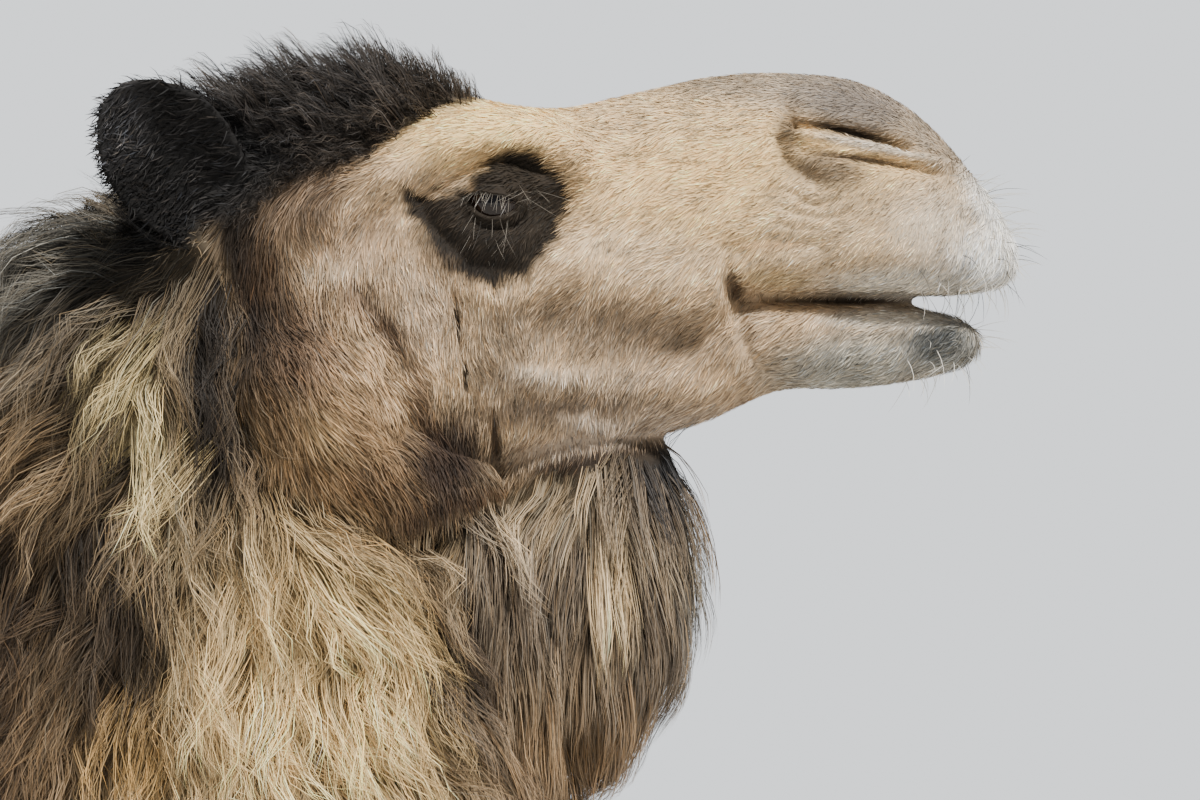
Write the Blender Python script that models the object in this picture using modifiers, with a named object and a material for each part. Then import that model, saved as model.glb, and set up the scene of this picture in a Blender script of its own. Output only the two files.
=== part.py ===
"""A life-size standing Bactrian camel, made as a still museum model.

Metres, +Z up. The camel looks along +X and its left side is +Y. The origin is on the floor,
under the middle of the model's box. Every outline is the flesh plus the depth of the coat.
The whole animal is modelled as one form from lofted body lengths, and is then parted with
thin cuts into the pieces that a person would name.
"""

import math
from typing import NamedTuple

import bmesh
import bpy
import numpy as np
from mathutils import Matrix, Vector

# ---- Driving sizes -------------------------------------------------------------------------

CUT = 0.0004  # width of the thin cuts between neighbouring pieces
WELD = 0.00002  # points nearer than this are one point
SIDES = (("left", 1), ("right", -1))
SHARP = math.radians(40)

MIDDLE = 0.346  # how far the middle of the box lies in front of the trunk's own zero
POLL = Vector((1.15, 0.0, 1.95))  # the back of the skull, between the ears

EYE_AT = Vector((0.200, 0.066, 0.030))  # from the poll, on the left side
EYE_RADIUS = 0.0205

EAR_ROOT = Vector((0.022, 0.064, 0.012))
EAR_AXIS = Vector((-0.58, 0.38, 0.72))
EAR_MOUTH = Vector((0.40, 0.90, -0.05))  # the way the open side of the ear faces
EAR_LENGTH = 0.122
EAR_WIDTH = 0.046

FRONT_FOOT_X = 0.445
HIND_FOOT_X = -0.695
FRONT_STRIDE = {"left": 0.050, "right": -0.030}
HIND_STRIDE = {"left": -0.060, "right": 0.050}
HIND_FOOT_SIZE = 0.92  # of a front foot

NAIL_AT = Vector((0.108, 0.038, 0.033))  # from the middle of a foot
NAIL_HALF = Vector((0.024, 0.021, 0.018))


class Ring(NamedTuple):
    """One cross-section of a body length, square to the path that the length follows."""

    x: float
    z: float
    dorsal: float  # reach of the flesh to the upper side, or to the front of a leg
    ventral: float
    side: float
    coat: tuple = (0.02, 0.02, 0.02)  # hair depth on the dorsal, ventral and side faces
    y: float = 0.0
    full: tuple = (2.0, 2.0)  # 2 is an ellipse and more is squarer, dorsal and ventral


class Relief(NamedTuple):
    """A soft rise or hollow of a form's surface, round a middle point."""

    middle: tuple
    half: tuple
    rise: float


class Form(NamedTuple):
    """How finely one fused form is made."""

    voxel: float
    smoothing: int
    triangles: int


BODY_FORM = Form(0.015, 6, 2300)
HEAD_FORM = Form(0.0036, 5, 1900)
FEET_FORM = Form(0.0055, 4, 480)

TRUNK = (
    Ring(-0.905, 1.385, 0.030, 0.040, 0.040),
    Ring(-0.870, 1.375, 0.095, 0.150, 0.110),
    Ring(-0.760, 1.370, 0.190, 0.270, 0.205),
    Ring(-0.600, 1.365, 0.270, 0.340, 0.255, (0.030, 0.025, 0.022)),
    Ring(-0.400, 1.345, 0.325, 0.360, 0.295, (0.035, 0.030, 0.025)),
    Ring(-0.130, 1.320, 0.345, 0.385, 0.330, (0.035, 0.035, 0.028)),
    Ring(0.110, 1.300, 0.375, 0.405, 0.330, (0.035, 0.035, 0.028)),
    Ring(0.320, 1.300, 0.405, 0.420, 0.290, (0.040, 0.035, 0.028)),
    Ring(0.500, 1.310, 0.360, 0.370, 0.240, (0.040, 0.045, 0.028)),
    Ring(0.650, 1.320, 0.270, 0.270, 0.185, (0.040, 0.060, 0.028)),
    Ring(0.770, 1.320, 0.150, 0.150, 0.115, (0.040, 0.060, 0.028)),
)

NECK = (
    Ring(0.480, 1.370, 0.270, 0.270, 0.175, (0.030, 0.050, 0.025)),
    Ring(0.660, 1.315, 0.225, 0.235, 0.150, (0.045, 0.075, 0.030)),
    Ring(0.830, 1.290, 0.180, 0.180, 0.122, (0.055, 0.100, 0.038)),
    Ring(0.985, 1.335, 0.155, 0.150, 0.105, (0.065, 0.115, 0.045)),
    Ring(1.110, 1.450, 0.138, 0.132, 0.095, (0.075, 0.115, 0.050)),
    Ring(1.185, 1.600, 0.125, 0.120, 0.090, (0.090, 0.120, 0.052)),
    Ring(1.205, 1.745, 0.115, 0.120, 0.085, (0.108, 0.085, 0.050), 0.0, (2.0, 1.8)),
    Ring(1.185, 1.855, 0.100, 0.120, 0.080, (0.118, 0.025, 0.040), 0.0, (2.0, 1.5)),
    Ring(1.178, 1.925, 0.085, 0.090, 0.070, (0.124, 0.000, 0.028), 0.0, (2.0, 1.5)),
    Ring(1.172, 1.970, 0.062, 0.060, 0.050, (0.110, 0.000, 0.020), 0.0, (2.0, 1.6)),
    Ring(1.168, 1.996, 0.030, 0.030, 0.022, (0.080, 0.000, 0.020)),
)
NECK_TOP = 4  # the neck from this ring on is also part of the head's own form

FRONT_HUMP = (
    Ring(0.215, 1.560, 0.300, 0.280, 0.180, (0.02, 0.02, 0.02)),
    Ring(0.215, 1.720, 0.215, 0.205, 0.140, (0.02, 0.02, 0.02)),
    Ring(0.215, 1.860, 0.160, 0.150, 0.110, (0.025, 0.025, 0.025)),
    Ring(0.210, 1.980, 0.118, 0.105, 0.082, (0.03, 0.03, 0.03)),
    Ring(0.200, 2.070, 0.080, 0.070, 0.056, (0.035, 0.035, 0.035)),
    Ring(0.192, 2.115, 0.035, 0.030, 0.026, (0.035, 0.035, 0.035)),
    Ring(0.190, 2.140, 0.010, 0.010, 0.010, (0.025, 0.025, 0.025)),
)

REAR_HUMP = (
    Ring(-0.440, 1.520, 0.290, 0.290, 0.170, (0.02, 0.02, 0.02)),
    Ring(-0.440, 1.690, 0.220, 0.215, 0.140, (0.02, 0.02, 0.02)),
    Ring(-0.440, 1.820, 0.165, 0.160, 0.110, (0.025, 0.025, 0.025)),
    Ring(-0.448, 1.930, 0.120, 0.115, 0.082, (0.03, 0.03, 0.03)),
    Ring(-0.460, 2.015, 0.080, 0.075, 0.056, (0.035, 0.035, 0.035)),
    Ring(-0.470, 2.060, 0.035, 0.032, 0.026, (0.035, 0.035, 0.035)),
    Ring(-0.472, 2.085, 0.010, 0.010, 0.010, (0.025, 0.025, 0.025)),
)

TAIL = (
    Ring(-0.850, 1.470, 0.040, 0.040, 0.040, (0.01, 0.01, 0.01)),
    Ring(-0.915, 1.430, 0.030, 0.030, 0.030, (0.012, 0.012, 0.012)),
    Ring(-0.955, 1.340, 0.022, 0.022, 0.024, (0.015, 0.015, 0.015)),
    Ring(-0.965, 1.220, 0.017, 0.017, 0.018, (0.022, 0.022, 0.022)),
    Ring(-0.962, 1.100, 0.013, 0.013, 0.014, (0.032, 0.032, 0.030)),
    Ring(-0.957, 0.990, 0.009, 0.009, 0.009, (0.038, 0.038, 0.036)),
    Ring(-0.955, 0.900, 0.004, 0.004, 0.004, (0.026, 0.026, 0.024)),
    Ring(-0.955, 0.855, 0.002, 0.002, 0.002, (0.010, 0.010, 0.010)),
)

# A leg's path runs down from inside the trunk, so its dorsal side is its front. x is measured
# from the foot's middle, and the stride grows from none at the trunk to all at the floor.
FORELEG = (
    Ring(0.030, 1.360, 0.120, 0.140, 0.095, (0.020, 0.020, 0.020), 0.140),
    Ring(0.015, 1.210, 0.125, 0.135, 0.105, (0.022, 0.022, 0.020), 0.160),
    Ring(-0.010, 1.060, 0.100, 0.110, 0.085, (0.032, 0.037, 0.026), 0.172),
    Ring(-0.020, 0.910, 0.074, 0.080, 0.066, (0.044, 0.050, 0.036), 0.170),
    Ring(-0.020, 0.750, 0.056, 0.058, 0.053, (0.040, 0.044, 0.034), 0.165),
    Ring(-0.013, 0.630, 0.051, 0.048, 0.050, (0.016, 0.020, 0.015), 0.162),
    Ring(-0.010, 0.560, 0.056, 0.050, 0.057, (0.007, 0.010, 0.008), 0.160),
    Ring(-0.012, 0.490, 0.047, 0.046, 0.050, (0.006, 0.009, 0.007), 0.160),
    Ring(-0.014, 0.410, 0.034, 0.038, 0.037, (0.006, 0.009, 0.006), 0.160),
    Ring(-0.013, 0.280, 0.030, 0.037, 0.033, (0.006, 0.009, 0.006), 0.160),
    Ring(-0.010, 0.190, 0.038, 0.044, 0.045, (0.006, 0.009, 0.006), 0.160),
    Ring(0.005, 0.110, 0.043, 0.044, 0.054, (0.006, 0.009, 0.006), 0.160),
    Ring(0.012, 0.070, 0.060, 0.058, 0.062, (0.005, 0.005, 0.005), 0.160),
)

HINDLEG = (
    Ring(0.080, 1.430, 0.160, 0.150, 0.090, (0.020, 0.020, 0.020), 0.125),
    Ring(0.100, 1.270, 0.175, 0.165, 0.105, (0.020, 0.020, 0.020), 0.155),
    Ring(0.120, 1.110, 0.140, 0.145, 0.090, (0.020, 0.022, 0.020), 0.172),
    Ring(0.090, 0.970, 0.098, 0.105, 0.070, (0.018, 0.022, 0.016), 0.172),
    Ring(0.030, 0.840, 0.064, 0.070, 0.052, (0.012, 0.016, 0.012), 0.170),
    Ring(-0.030, 0.725, 0.046, 0.056, 0.043, (0.010, 0.012, 0.010), 0.168),
    Ring(-0.065, 0.640, 0.049, 0.055, 0.046, (0.008, 0.010, 0.008), 0.168),
    Ring(-0.068, 0.550, 0.041, 0.045, 0.042, (0.007, 0.009, 0.007), 0.168),
    Ring(-0.058, 0.420, 0.033, 0.037, 0.034, (0.006, 0.009, 0.006), 0.168),
    Ring(-0.045, 0.280, 0.031, 0.036, 0.032, (0.006, 0.009, 0.006), 0.168),
    Ring(-0.034, 0.190, 0.036, 0.042, 0.042, (0.006, 0.009, 0.006), 0.168),
    Ring(-0.008, 0.110, 0.041, 0.042, 0.050, (0.006, 0.009, 0.006), 0.168),
    Ring(0.004, 0.070, 0.056, 0.055, 0.058, (0.005, 0.005, 0.005), 0.168),
)
SHANK_END = 9  # the leg from this ring on is also part of the feet's own form

FOOT = (
    Ring(0.005, 0.130, 0.044, 0.044, 0.050, (0.006, 0.006, 0.006)),
    Ring(0.010, 0.085, 0.078, 0.066, 0.074, (0.006, 0.006, 0.006), 0.0, (2.3, 2.0)),
    Ring(0.012, 0.050, 0.102, 0.080, 0.092, (0.004, 0.004, 0.004), 0.0, (2.6, 2.0)),
    Ring(0.012, 0.020, 0.112, 0.086, 0.100, (0.002, 0.002, 0.002), 0.0, (2.7, 2.1)),
    Ring(0.012, -0.012, 0.108, 0.084, 0.098, (0.0, 0.0, 0.0), 0.0, (2.7, 2.1)),
)


def upright_ring(x, top, widest, bottom, side, coat, full=(2.0, 2.0)):
    """A head section standing upright, from heights above and below the poll."""
    return Ring(x, widest, top - widest, widest - bottom, side, coat, 0.0, full)


SKULL = (
    upright_ring(-0.045, 0.040, 0.000, -0.045, 0.034, (0.020, 0.02, 0.015)),
    upright_ring(-0.020, 0.078, 0.005, -0.085, 0.062, (0.024, 0.02, 0.015)),
    upright_ring(0.040, 0.104, 0.010, -0.135, 0.080, (0.027, 0.015, 0.012)),
    upright_ring(0.100, 0.116, 0.012, -0.160, 0.086, (0.030, 0.010, 0.009), (1.9, 2.0)),
    upright_ring(0.150, 0.112, 0.015, -0.160, 0.086, (0.029, 0.008, 0.007), (1.9, 2.1)),
    upright_ring(0.190, 0.100, 0.018, -0.145, 0.084, (0.012, 0.007, 0.006), (2.1, 2.2)),
    upright_ring(0.240, 0.094, 0.018, -0.132, 0.076, (0.005, 0.006, 0.005), (2.3, 2.3)),
    upright_ring(0.290, 0.104, 0.018, -0.112, 0.066, (0.005, 0.006, 0.005), (2.3, 2.3)),
    upright_ring(0.335, 0.114, 0.018, -0.080, 0.060, (0.004, 0.006, 0.005), (2.3, 2.3)),
    upright_ring(0.370, 0.118, 0.018, -0.040, 0.058, (0.004, 0.006, 0.005), (2.3, 2.4)),
    upright_ring(0.405, 0.117, 0.018, -0.028, 0.059, (0.004, 0.005, 0.005), (2.2, 2.6)),
    upright_ring(0.440, 0.109, 0.014, -0.027, 0.060, (0.004, 0.005, 0.005), (2.1, 2.8)),
    upright_ring(0.475, 0.088, 0.006, -0.027, 0.056, (0.004, 0.005, 0.005), (2.1, 2.6)),
    upright_ring(0.507, 0.060, 0.000, -0.026, 0.047, (0.004, 0.005, 0.005), (2.0, 2.4)),
    upright_ring(0.533, 0.030, -0.006, -0.023, 0.034, (0.004, 0.005, 0.005), (2.0, 2.2)),
    upright_ring(0.546, 0.006, -0.008, -0.018, 0.016, (0.004, 0.005, 0.005)),
)

JAW = (
    upright_ring(0.055, -0.075, -0.105, -0.145, 0.030, (0.008, 0.018, 0.012)),
    upright_ring(0.085, -0.050, -0.105, -0.165, 0.052, (0.008, 0.018, 0.012)),
    upright_ring(0.140, -0.030, -0.105, -0.172, 0.060, (0.006, 0.012, 0.010), (2.0, 2.2)),
    upright_ring(0.200, -0.020, -0.095, -0.143, 0.056, (0.005, 0.007, 0.007), (2.0, 2.0)),
    upright_ring(0.260, -0.020, -0.085, -0.133, 0.050, (0.005, 0.006, 0.006), (2.0, 1.9)),
    upright_ring(0.330, -0.015, -0.072, -0.117, 0.046, (0.005, 0.006, 0.006), (2.0, 2.0)),
    upright_ring(0.385, -0.030, -0.062, -0.094, 0.043, (0.004, 0.006, 0.006), (2.4, 2.1)),
    upright_ring(0.430, -0.038, -0.063, -0.092, 0.041, (0.003, 0.006, 0.006), (2.6, 2.2)),
    upright_ring(0.470, -0.042, -0.062, -0.088, 0.037, (0.003, 0.006, 0.006), (2.6, 2.2)),
    upright_ring(0.500, -0.048, -0.061, -0.081, 0.028, (0.003, 0.006, 0.006), (2.4, 2.0)),
    upright_ring(0.519, -0.056, -0.062, -0.069, 0.013, (0.003, 0.005, 0.005)),
)

# The beard hangs from the throat, so its dorsal side is its front.
BEARD = (
    Ring(0.250, -0.110, 0.060, 0.060, 0.035, (0.0, 0.0, 0.0)),
    Ring(0.254, -0.155, 0.086, 0.090, 0.058, (0.0, 0.0, 0.0)),
    Ring(0.257, -0.205, 0.092, 0.098, 0.072, (0.0, 0.0, 0.0)),
    Ring(0.258, -0.255, 0.092, 0.098, 0.076, (0.0, 0.0, 0.0)),
    Ring(0.258, -0.298, 0.078, 0.085, 0.066, (0.0, 0.0, 0.0)),
    Ring(0.264, -0.328, 0.052, 0.060, 0.045, (0.0, 0.0, 0.0)),
    Ring(0.270, -0.343, 0.018, 0.018, 0.016, (0.0, 0.0, 0.0)),
)

# From the poll, and the same on both sides.
HEAD_RELIEF = (
    Relief((0.195, 0.080, 0.070), (0.078, 0.050, 0.036), 0.012),  # brow
    Relief((0.203, 0.090, 0.028), (0.050, 0.040, 0.024), -0.010),  # hollow of the eye
    Relief((0.215, 0.080, -0.008), (0.065, 0.050, 0.026), 0.005),  # lower rim of the orbit
    Relief((0.115, 0.080, -0.090), (0.090, 0.060, 0.085), 0.009),  # chewing muscle
    Relief((0.285, 0.062, -0.045), (0.090, 0.050, 0.050), -0.004),  # hollow of the cheek
    Relief((0.300, 0.058, 0.060), (0.080, 0.050, 0.045), -0.004),  # side of the nose bridge
    Relief((0.430, 0.050, 0.062), (0.075, 0.050, 0.045), 0.007),  # nostril
    Relief((0.428, 0.060, 0.070), (0.055, 0.030, 0.012), -0.006),  # slit of the nostril
    Relief((0.478, 0.045, -0.006), (0.068, 0.045, 0.036), 0.005),  # upper lip
    Relief((0.358, 0.050, -0.030), (0.020, 0.030, 0.012), -0.005),  # corner of the mouth
    Relief((0.440, 0.040, -0.078), (0.060, 0.040, 0.030), 0.004),  # chin
)
LIP_CLEFT = Relief((0.545, 0.0, 0.010), (0.045, 0.012, 0.050), -0.004)

# From the middle of a foot, at its front end.
TOE_CLEFT = Relief((0.125, 0.0, 0.030), (0.070, 0.016, 0.070), -0.016)

CHEST_PAD_AT = (0.415, 0.0, 0.875)
CHEST_PAD_HALF = (0.120, 0.064, 0.045)

GLAND_AT = (0.070, 0.045, -0.105)  # from the poll, below the ear and behind the jaw
GLAND_HALF = (0.070, 0.050, 0.070)


class Box(NamedTuple):
    """A piece's cut: the piece is what its box holds of the form, less the boxes before it."""

    name: str
    form: str
    low: tuple
    high: tuple
    paint: str
    pitch: float = 0.0  # degrees that the box leans back about its own middle


# Head boxes are measured from the poll.
HEAD_BOXES = (
    Box("throat_beard", "head", (0.174, -0.13, -0.331), (0.396, 0.13, -0.141), "mane", 17.5),
    Box("lower_jaw", "head", (0.175, -0.12, -0.200), (0.580, 0.12, -0.036), "face"),
    Box("head_muzzle", "head", (0.262, -0.12, -0.036), (0.600, 0.12, 0.180), "face"),
    Box("head_cranium", "head", (-0.052, -0.15, -0.186), (0.262, 0.15, 0.200), "face"),
)
BODY_BOXES = (
    Box("neck_upper", "head", (0.80, -0.30, 1.62), (1.62, 0.30, 2.10), "mane"),
    Box("neck_middle", "body", (0.954, -0.30, 1.211), (1.494, 0.30, 1.911), "mane", 43.0),
    Box("neck_lower", "body", (0.64, -0.30, 0.90), (1.50, 0.30, 1.80), "mane"),
    Box("hump_front", "body", (-0.10, -0.30, 1.722), (0.50, 0.30, 2.25), "body"),
    Box("hump_rear", "body", (-0.80, -0.30, 1.722), (-0.12, 0.30, 2.25), "body"),
    Box("tail_tuft", "body", (-1.10, -0.12, 0.70), (-0.88, 0.12, 1.17), "mane"),
    Box("tail_dock", "body", (-1.10, -0.12, 1.17), (-0.925, 0.12, 1.55), "body"),
    Box("chest_pad", "body", (0.28, -0.066, 0.78), (0.55, 0.066, 0.892), "body"),
)
# A leg's boxes are measured on the left side.
LEG_BOXES = (
    Box("foreleg_foot", "feet", (0.20, 0.03, 0.0), (0.75, 0.40, 0.13), "body"),
    Box("foreleg_cannon", "body", (0.20, 0.03, 0.13), (0.75, 0.40, 0.60), "body"),
    Box("foreleg_forearm", "body", (0.20, 0.066, 0.60), (0.75, 0.40, 0.90), "body"),
    Box("foreleg_shoulder", "body", (0.27, 0.085, 0.90), (0.64, 0.45, 1.22), "body"),
    Box("hindleg_foot", "feet", (-0.95, 0.03, 0.0), (-0.40, 0.40, 0.13), "body"),
    Box("hindleg_cannon", "body", (-0.95, 0.03, 0.13), (-0.40, 0.40, 0.60), "body"),
    Box("hindleg_gaskin", "body", (-0.90, 0.04, 0.60), (-0.40, 0.40, 0.86), "body"),
    Box("hindleg_thigh", "body", (-0.82, 0.075, 0.86), (-0.34, 0.45, 1.24), "body"),
)
TRUNK_BOXES = (
    Box("trunk_chest", "body", (0.33, -0.45, 0.70), (0.64, 0.45, 1.95), "body"),
    Box("trunk_barrel", "body", (-0.38, -0.45, 0.70), (0.33, 0.45, 1.95), "body"),
    Box("trunk_rump", "body", (-0.925, -0.45, 0.70), (-0.38, 0.45, 1.95), "body"),
)

PAINTS = {  # base colour and roughness
    "body": ((0.235, 0.160, 0.098), 0.95),
    "face": ((0.400, 0.310, 0.215), 0.90),
    "mane": ((0.260, 0.195, 0.130), 0.95),
    "dark": ((0.030, 0.026, 0.024), 0.95),
    "eye": ((0.012, 0.008, 0.006), 0.12),
    "nail": ((0.060, 0.050, 0.042), 0.55),
}


# ---- Lofts ---------------------------------------------------------------------------------


def row_of(ring):
    """A ring as numbers that can be blended: place, reaches with the coat, fullness."""
    dorsal, ventral, side = ring.coat
    reaches = (ring.dorsal + dorsal, ring.ventral + ventral, ring.side + side)
    return (ring.x, ring.y, ring.z, *reaches, *ring.full)


def smooth_rows(rings, steps):
    """The rings with smooth rows between them, on a Catmull-Rom curve through every ring."""
    given = np.array([row_of(ring) for ring in rings], float)
    ends = np.vstack((2 * given[0] - given[1], given, 2 * given[-1] - given[-2]))
    found = []
    for k in range(len(given) - 1):
        a, b, c, d = ends[k : k + 4]
        for t in np.arange(steps) / steps:
            bend = (c - a) * t + (2 * a - 5 * b + 4 * c - d) * t**2 + (3 * b - a - 3 * c + d) * t**3
            found.append(b + 0.5 * bend)
    found.append(given[-1])
    least = [-9.0, -9.0, -9.0, CUT, CUT, CUT, 1.2, 1.2]
    return np.maximum(np.array(found), least)


def power(value, exponent):
    return math.copysign(abs(value) ** exponent, value)


def section(row, along, segments):
    """The points of one section: an oval with its own fullness above and below."""
    x, y, z, dorsal, ventral, side, full_up, full_down = row
    up = Vector((-along.z, 0.0, along.x))
    points = []
    for k in range(segments):
        angle = 2 * math.pi * (k + 0.5) / segments
        rise, reach = math.cos(angle), math.sin(angle)
        full, height = (full_up, dorsal) if rise > 0 else (full_down, ventral)
        across = Vector((x, y + power(reach, 2 / full) * side, z))
        points.append(across + up * (power(rise, 2 / full) * height))
    return points


def close_loops(target, loops):
    """Joins loops of points into one closed surface with flat ends."""
    rings = [[target.verts.new(point) for point in loop] for loop in loops]
    count = len(rings[0])
    faces = [target.faces.new(rings[0][::-1]), target.faces.new(rings[-1])]
    for first, second in zip(rings, rings[1:]):
        for k in range(count):
            n = (k + 1) % count
            faces.append(target.faces.new((first[k], first[n], second[n], second[k])))
    bmesh.ops.recalc_face_normals(target, faces=faces)


def loft(target, rings, place, steps=4, segments=24, upright=False):
    """Adds a closed body length through the rings."""
    rows = smooth_rows(rings, steps)
    path = [Vector((row[0], 0.0, row[2])) for row in rows]
    loops = []
    for k, row in enumerate(rows):
        ahead = path[min(k + 1, len(path) - 1)] - path[max(k - 1, 0)]
        along = Vector((1.0, 0.0, 0.0)) if upright else ahead.normalized()
        loops.append([place @ point for point in section(row, along, segments)])
    close_loops(target, loops)


def oval_ball(target, middle, half, place, segments=16, rings=9):
    """Adds a ball with its own half size along each axis."""
    shape = place @ Matrix.Translation(middle) @ Matrix.Diagonal((*half, 1.0))
    bmesh.ops.create_uvsphere(
        target, u_segments=segments, v_segments=rings, radius=1.0, matrix=shape
    )


# ---- The whole form ------------------------------------------------------------------------

TO_WORLD = Matrix.Translation((-MIDDLE, 0.0, 0.0))
HEAD_PLACE = TO_WORLD @ Matrix.Translation(POLL)


def mirrored(point, side):
    return Vector((point[0], side * point[1], point[2]))


def ear_frame(side):
    """The ear's root, and the directions along it, out of its open side and across it."""
    axis = mirrored(EAR_AXIS, side).normalized()
    mouth = mirrored(EAR_MOUTH, side)
    mouth = (mouth - axis * mouth.dot(axis)).normalized()
    return mirrored(EAR_ROOT, side), axis, mouth, axis.cross(mouth)


def add_ear(target, side):
    """Adds a cupped leaf-shaped ear, thick enough to hold its own fur."""
    root, axis, mouth, width = ear_frame(side)
    across = np.linspace(-1.0, 1.0, 9)
    loops = []
    for u in np.linspace(-0.20, 1.0, 13):
        grown = max(u, 0.0)
        half = EAR_WIDTH * max((0.60 + 1.40 * grown - 1.05 * grown**2) * (1 - grown**4) ** 0.5, 0.3)
        cup = 0.60 * half * (1.0 - 0.40 * grown)
        wall = 0.0080 - 0.0025 * grown
        middle = root + axis * (EAR_LENGTH * u)
        bow = [middle + width * (half * v) + mouth * (cup * (v * v - 0.45)) for v in across]
        back = [point - mouth * wall for point in bow]
        front = [point + mouth * wall for point in bow[::-1]]
        loops.append([HEAD_PLACE @ point for point in back + front])
    close_loops(target, loops)


def foot_place(front, name, side):
    """Where a foot's middle stands, and how big the foot is."""
    foot_x, strides = (FRONT_FOOT_X, FRONT_STRIDE) if front else (HIND_FOOT_X, HIND_STRIDE)
    lateral = (FORELEG if front else HINDLEG)[-1].y
    size = 1.0 if front else HIND_FOOT_SIZE
    middle = Vector((foot_x + strides[name], side * lateral, 0.0))
    return TO_WORLD @ Matrix.Translation(middle) @ Matrix.Diagonal((size, size, 1.0, 1.0))


def add_leg(target, front, name, side, first=0):
    """Adds a leg from that ring down. The stride fades out up to the trunk."""
    rings = FORELEG if front else HINDLEG
    foot_x, strides = (FRONT_FOOT_X, FRONT_STRIDE) if front else (HIND_FOOT_X, HIND_STRIDE)
    top = rings[0].z
    moved = [
        ring._replace(x=foot_x + ring.x + strides[name] * (1.0 - ring.z / top), y=side * ring.y)
        for ring in rings[first:]
    ]
    loft(target, moved, TO_WORLD)
    loft(target, FOOT, foot_place(front, name, side))


def each_leg():
    for name, side in SIDES:
        for front in (True, False):
            yield front, name, side


def add_head(target):
    loft(target, SKULL, HEAD_PLACE, upright=True)
    loft(target, JAW, HEAD_PLACE, upright=True)
    loft(target, NECK[NECK_TOP:], TO_WORLD)
    loft(target, BEARD, HEAD_PLACE)
    for _, side in SIDES:
        add_ear(target, side)
        oval_ball(target, mirrored(GLAND_AT, side), GLAND_HALF, HEAD_PLACE)


def add_body(target):
    for rings in (TRUNK, NECK, FRONT_HUMP, REAR_HUMP, TAIL):
        loft(target, rings, TO_WORLD)
    oval_ball(target, CHEST_PAD_AT, CHEST_PAD_HALF, TO_WORLD)
    for leg in each_leg():
        add_leg(target, *leg)


def add_feet(target):
    for leg in each_leg():
        add_leg(target, *leg, first=SHANK_END)


def raise_relief(mesh, reliefs, place, side):
    """Moves the surface in and out along its own normals, round each relief's middle."""
    points = np.empty(len(mesh.vertices) * 3)
    normals = np.empty(len(mesh.vertices) * 3)
    mesh.vertices.foreach_get("co", points)
    mesh.vertex_normals.foreach_get("vector", normals)
    points, normals = points.reshape(-1, 3), normals.reshape(-1, 3)
    moved = points.copy()
    for middle, half, rise in reliefs:
        at = np.array(place @ mirrored(middle, side))
        away = (((points - at) / np.array(half)) ** 2).sum(axis=1)
        moved += normals * (rise * np.clip(1.0 - away, 0.0, None) ** 2)[:, None]
    mesh.vertices.foreach_set("co", moved.ravel())
    mesh.update()


def evaluated(obj):
    graph = bpy.context.evaluated_depsgraph_get()
    return bpy.data.meshes.new_from_object(obj.evaluated_get(graph))


def fused(name, add, form, reliefs=()):
    """One closed skin over all that add puts in, carved, then thinned to few triangles."""
    shape = bmesh.new()
    add(shape)
    mesh = bpy.data.meshes.new(name)
    shape.to_mesh(mesh)
    shape.free()
    obj = bpy.data.objects.new(name, mesh)
    helpers().objects.link(obj)
    remesh = obj.modifiers.new("fuse", "REMESH")
    remesh.mode = "VOXEL"
    remesh.voxel_size = form.voxel
    smooth = obj.modifiers.new("smooth", "SMOOTH")
    smooth.iterations = form.smoothing
    obj.data = evaluated(obj)
    obj.modifiers.clear()
    for relief in reliefs:
        raise_relief(obj.data, *relief)
    thin = obj.modifiers.new("thin", "DECIMATE")
    thin.ratio = form.triangles / sum(len(face.vertices) - 2 for face in obj.data.polygons)
    obj.data = evaluated(obj)
    obj.modifiers.clear()
    obj.hide_render = True
    obj.display_type = "WIRE"
    return obj


def helpers():
    """The collection of cutters and forms, which aren't part of the camel."""
    name = "helpers"
    if name not in bpy.data.collections:
        bpy.context.scene.collection.children.link(bpy.data.collections.new(name))
    return bpy.data.collections[name]


# ---- Parting into pieces -------------------------------------------------------------------


class Cutter(NamedTuple):
    """A closed shape that a piece keeps, and the same shape grown by the width of a cut."""

    own: bpy.types.Object
    grown: bpy.types.Object
    low: Vector
    high: Vector


def solid(name, build):
    """A helper object from a bmesh that build fills."""
    shape = bmesh.new()
    build(shape)
    mesh = bpy.data.meshes.new(name)
    shape.to_mesh(mesh)
    shape.free()
    obj = bpy.data.objects.new(name, mesh)
    helpers().objects.link(obj)
    obj.hide_render = True
    obj.display_type = "WIRE"
    return obj


def cutter_of(name, build):
    own = solid(name, lambda target: build(target, 0.0))
    grown = solid(f"{name}_grown", lambda target: build(target, CUT))
    points = np.array([vertex.co for vertex in grown.data.vertices])
    return Cutter(own, grown, Vector(points.min(axis=0)), Vector(points.max(axis=0)))


def box_cutter(box, place, side=1):
    low, high = mirrored(box.low, side), mirrored(box.high, side)
    middle = (low + high) / 2
    turn = Matrix.Rotation(-math.radians(box.pitch), 4, "Y")

    def build(target, grow):
        size = [abs(a - b) + 2 * grow for a, b in zip(high, low)]
        shape = place @ Matrix.Translation(middle) @ turn @ Matrix.Diagonal((*size, 1.0))
        bmesh.ops.create_cube(target, size=1.0, matrix=shape)

    return cutter_of(f"{box.name}_box", build)


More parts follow.
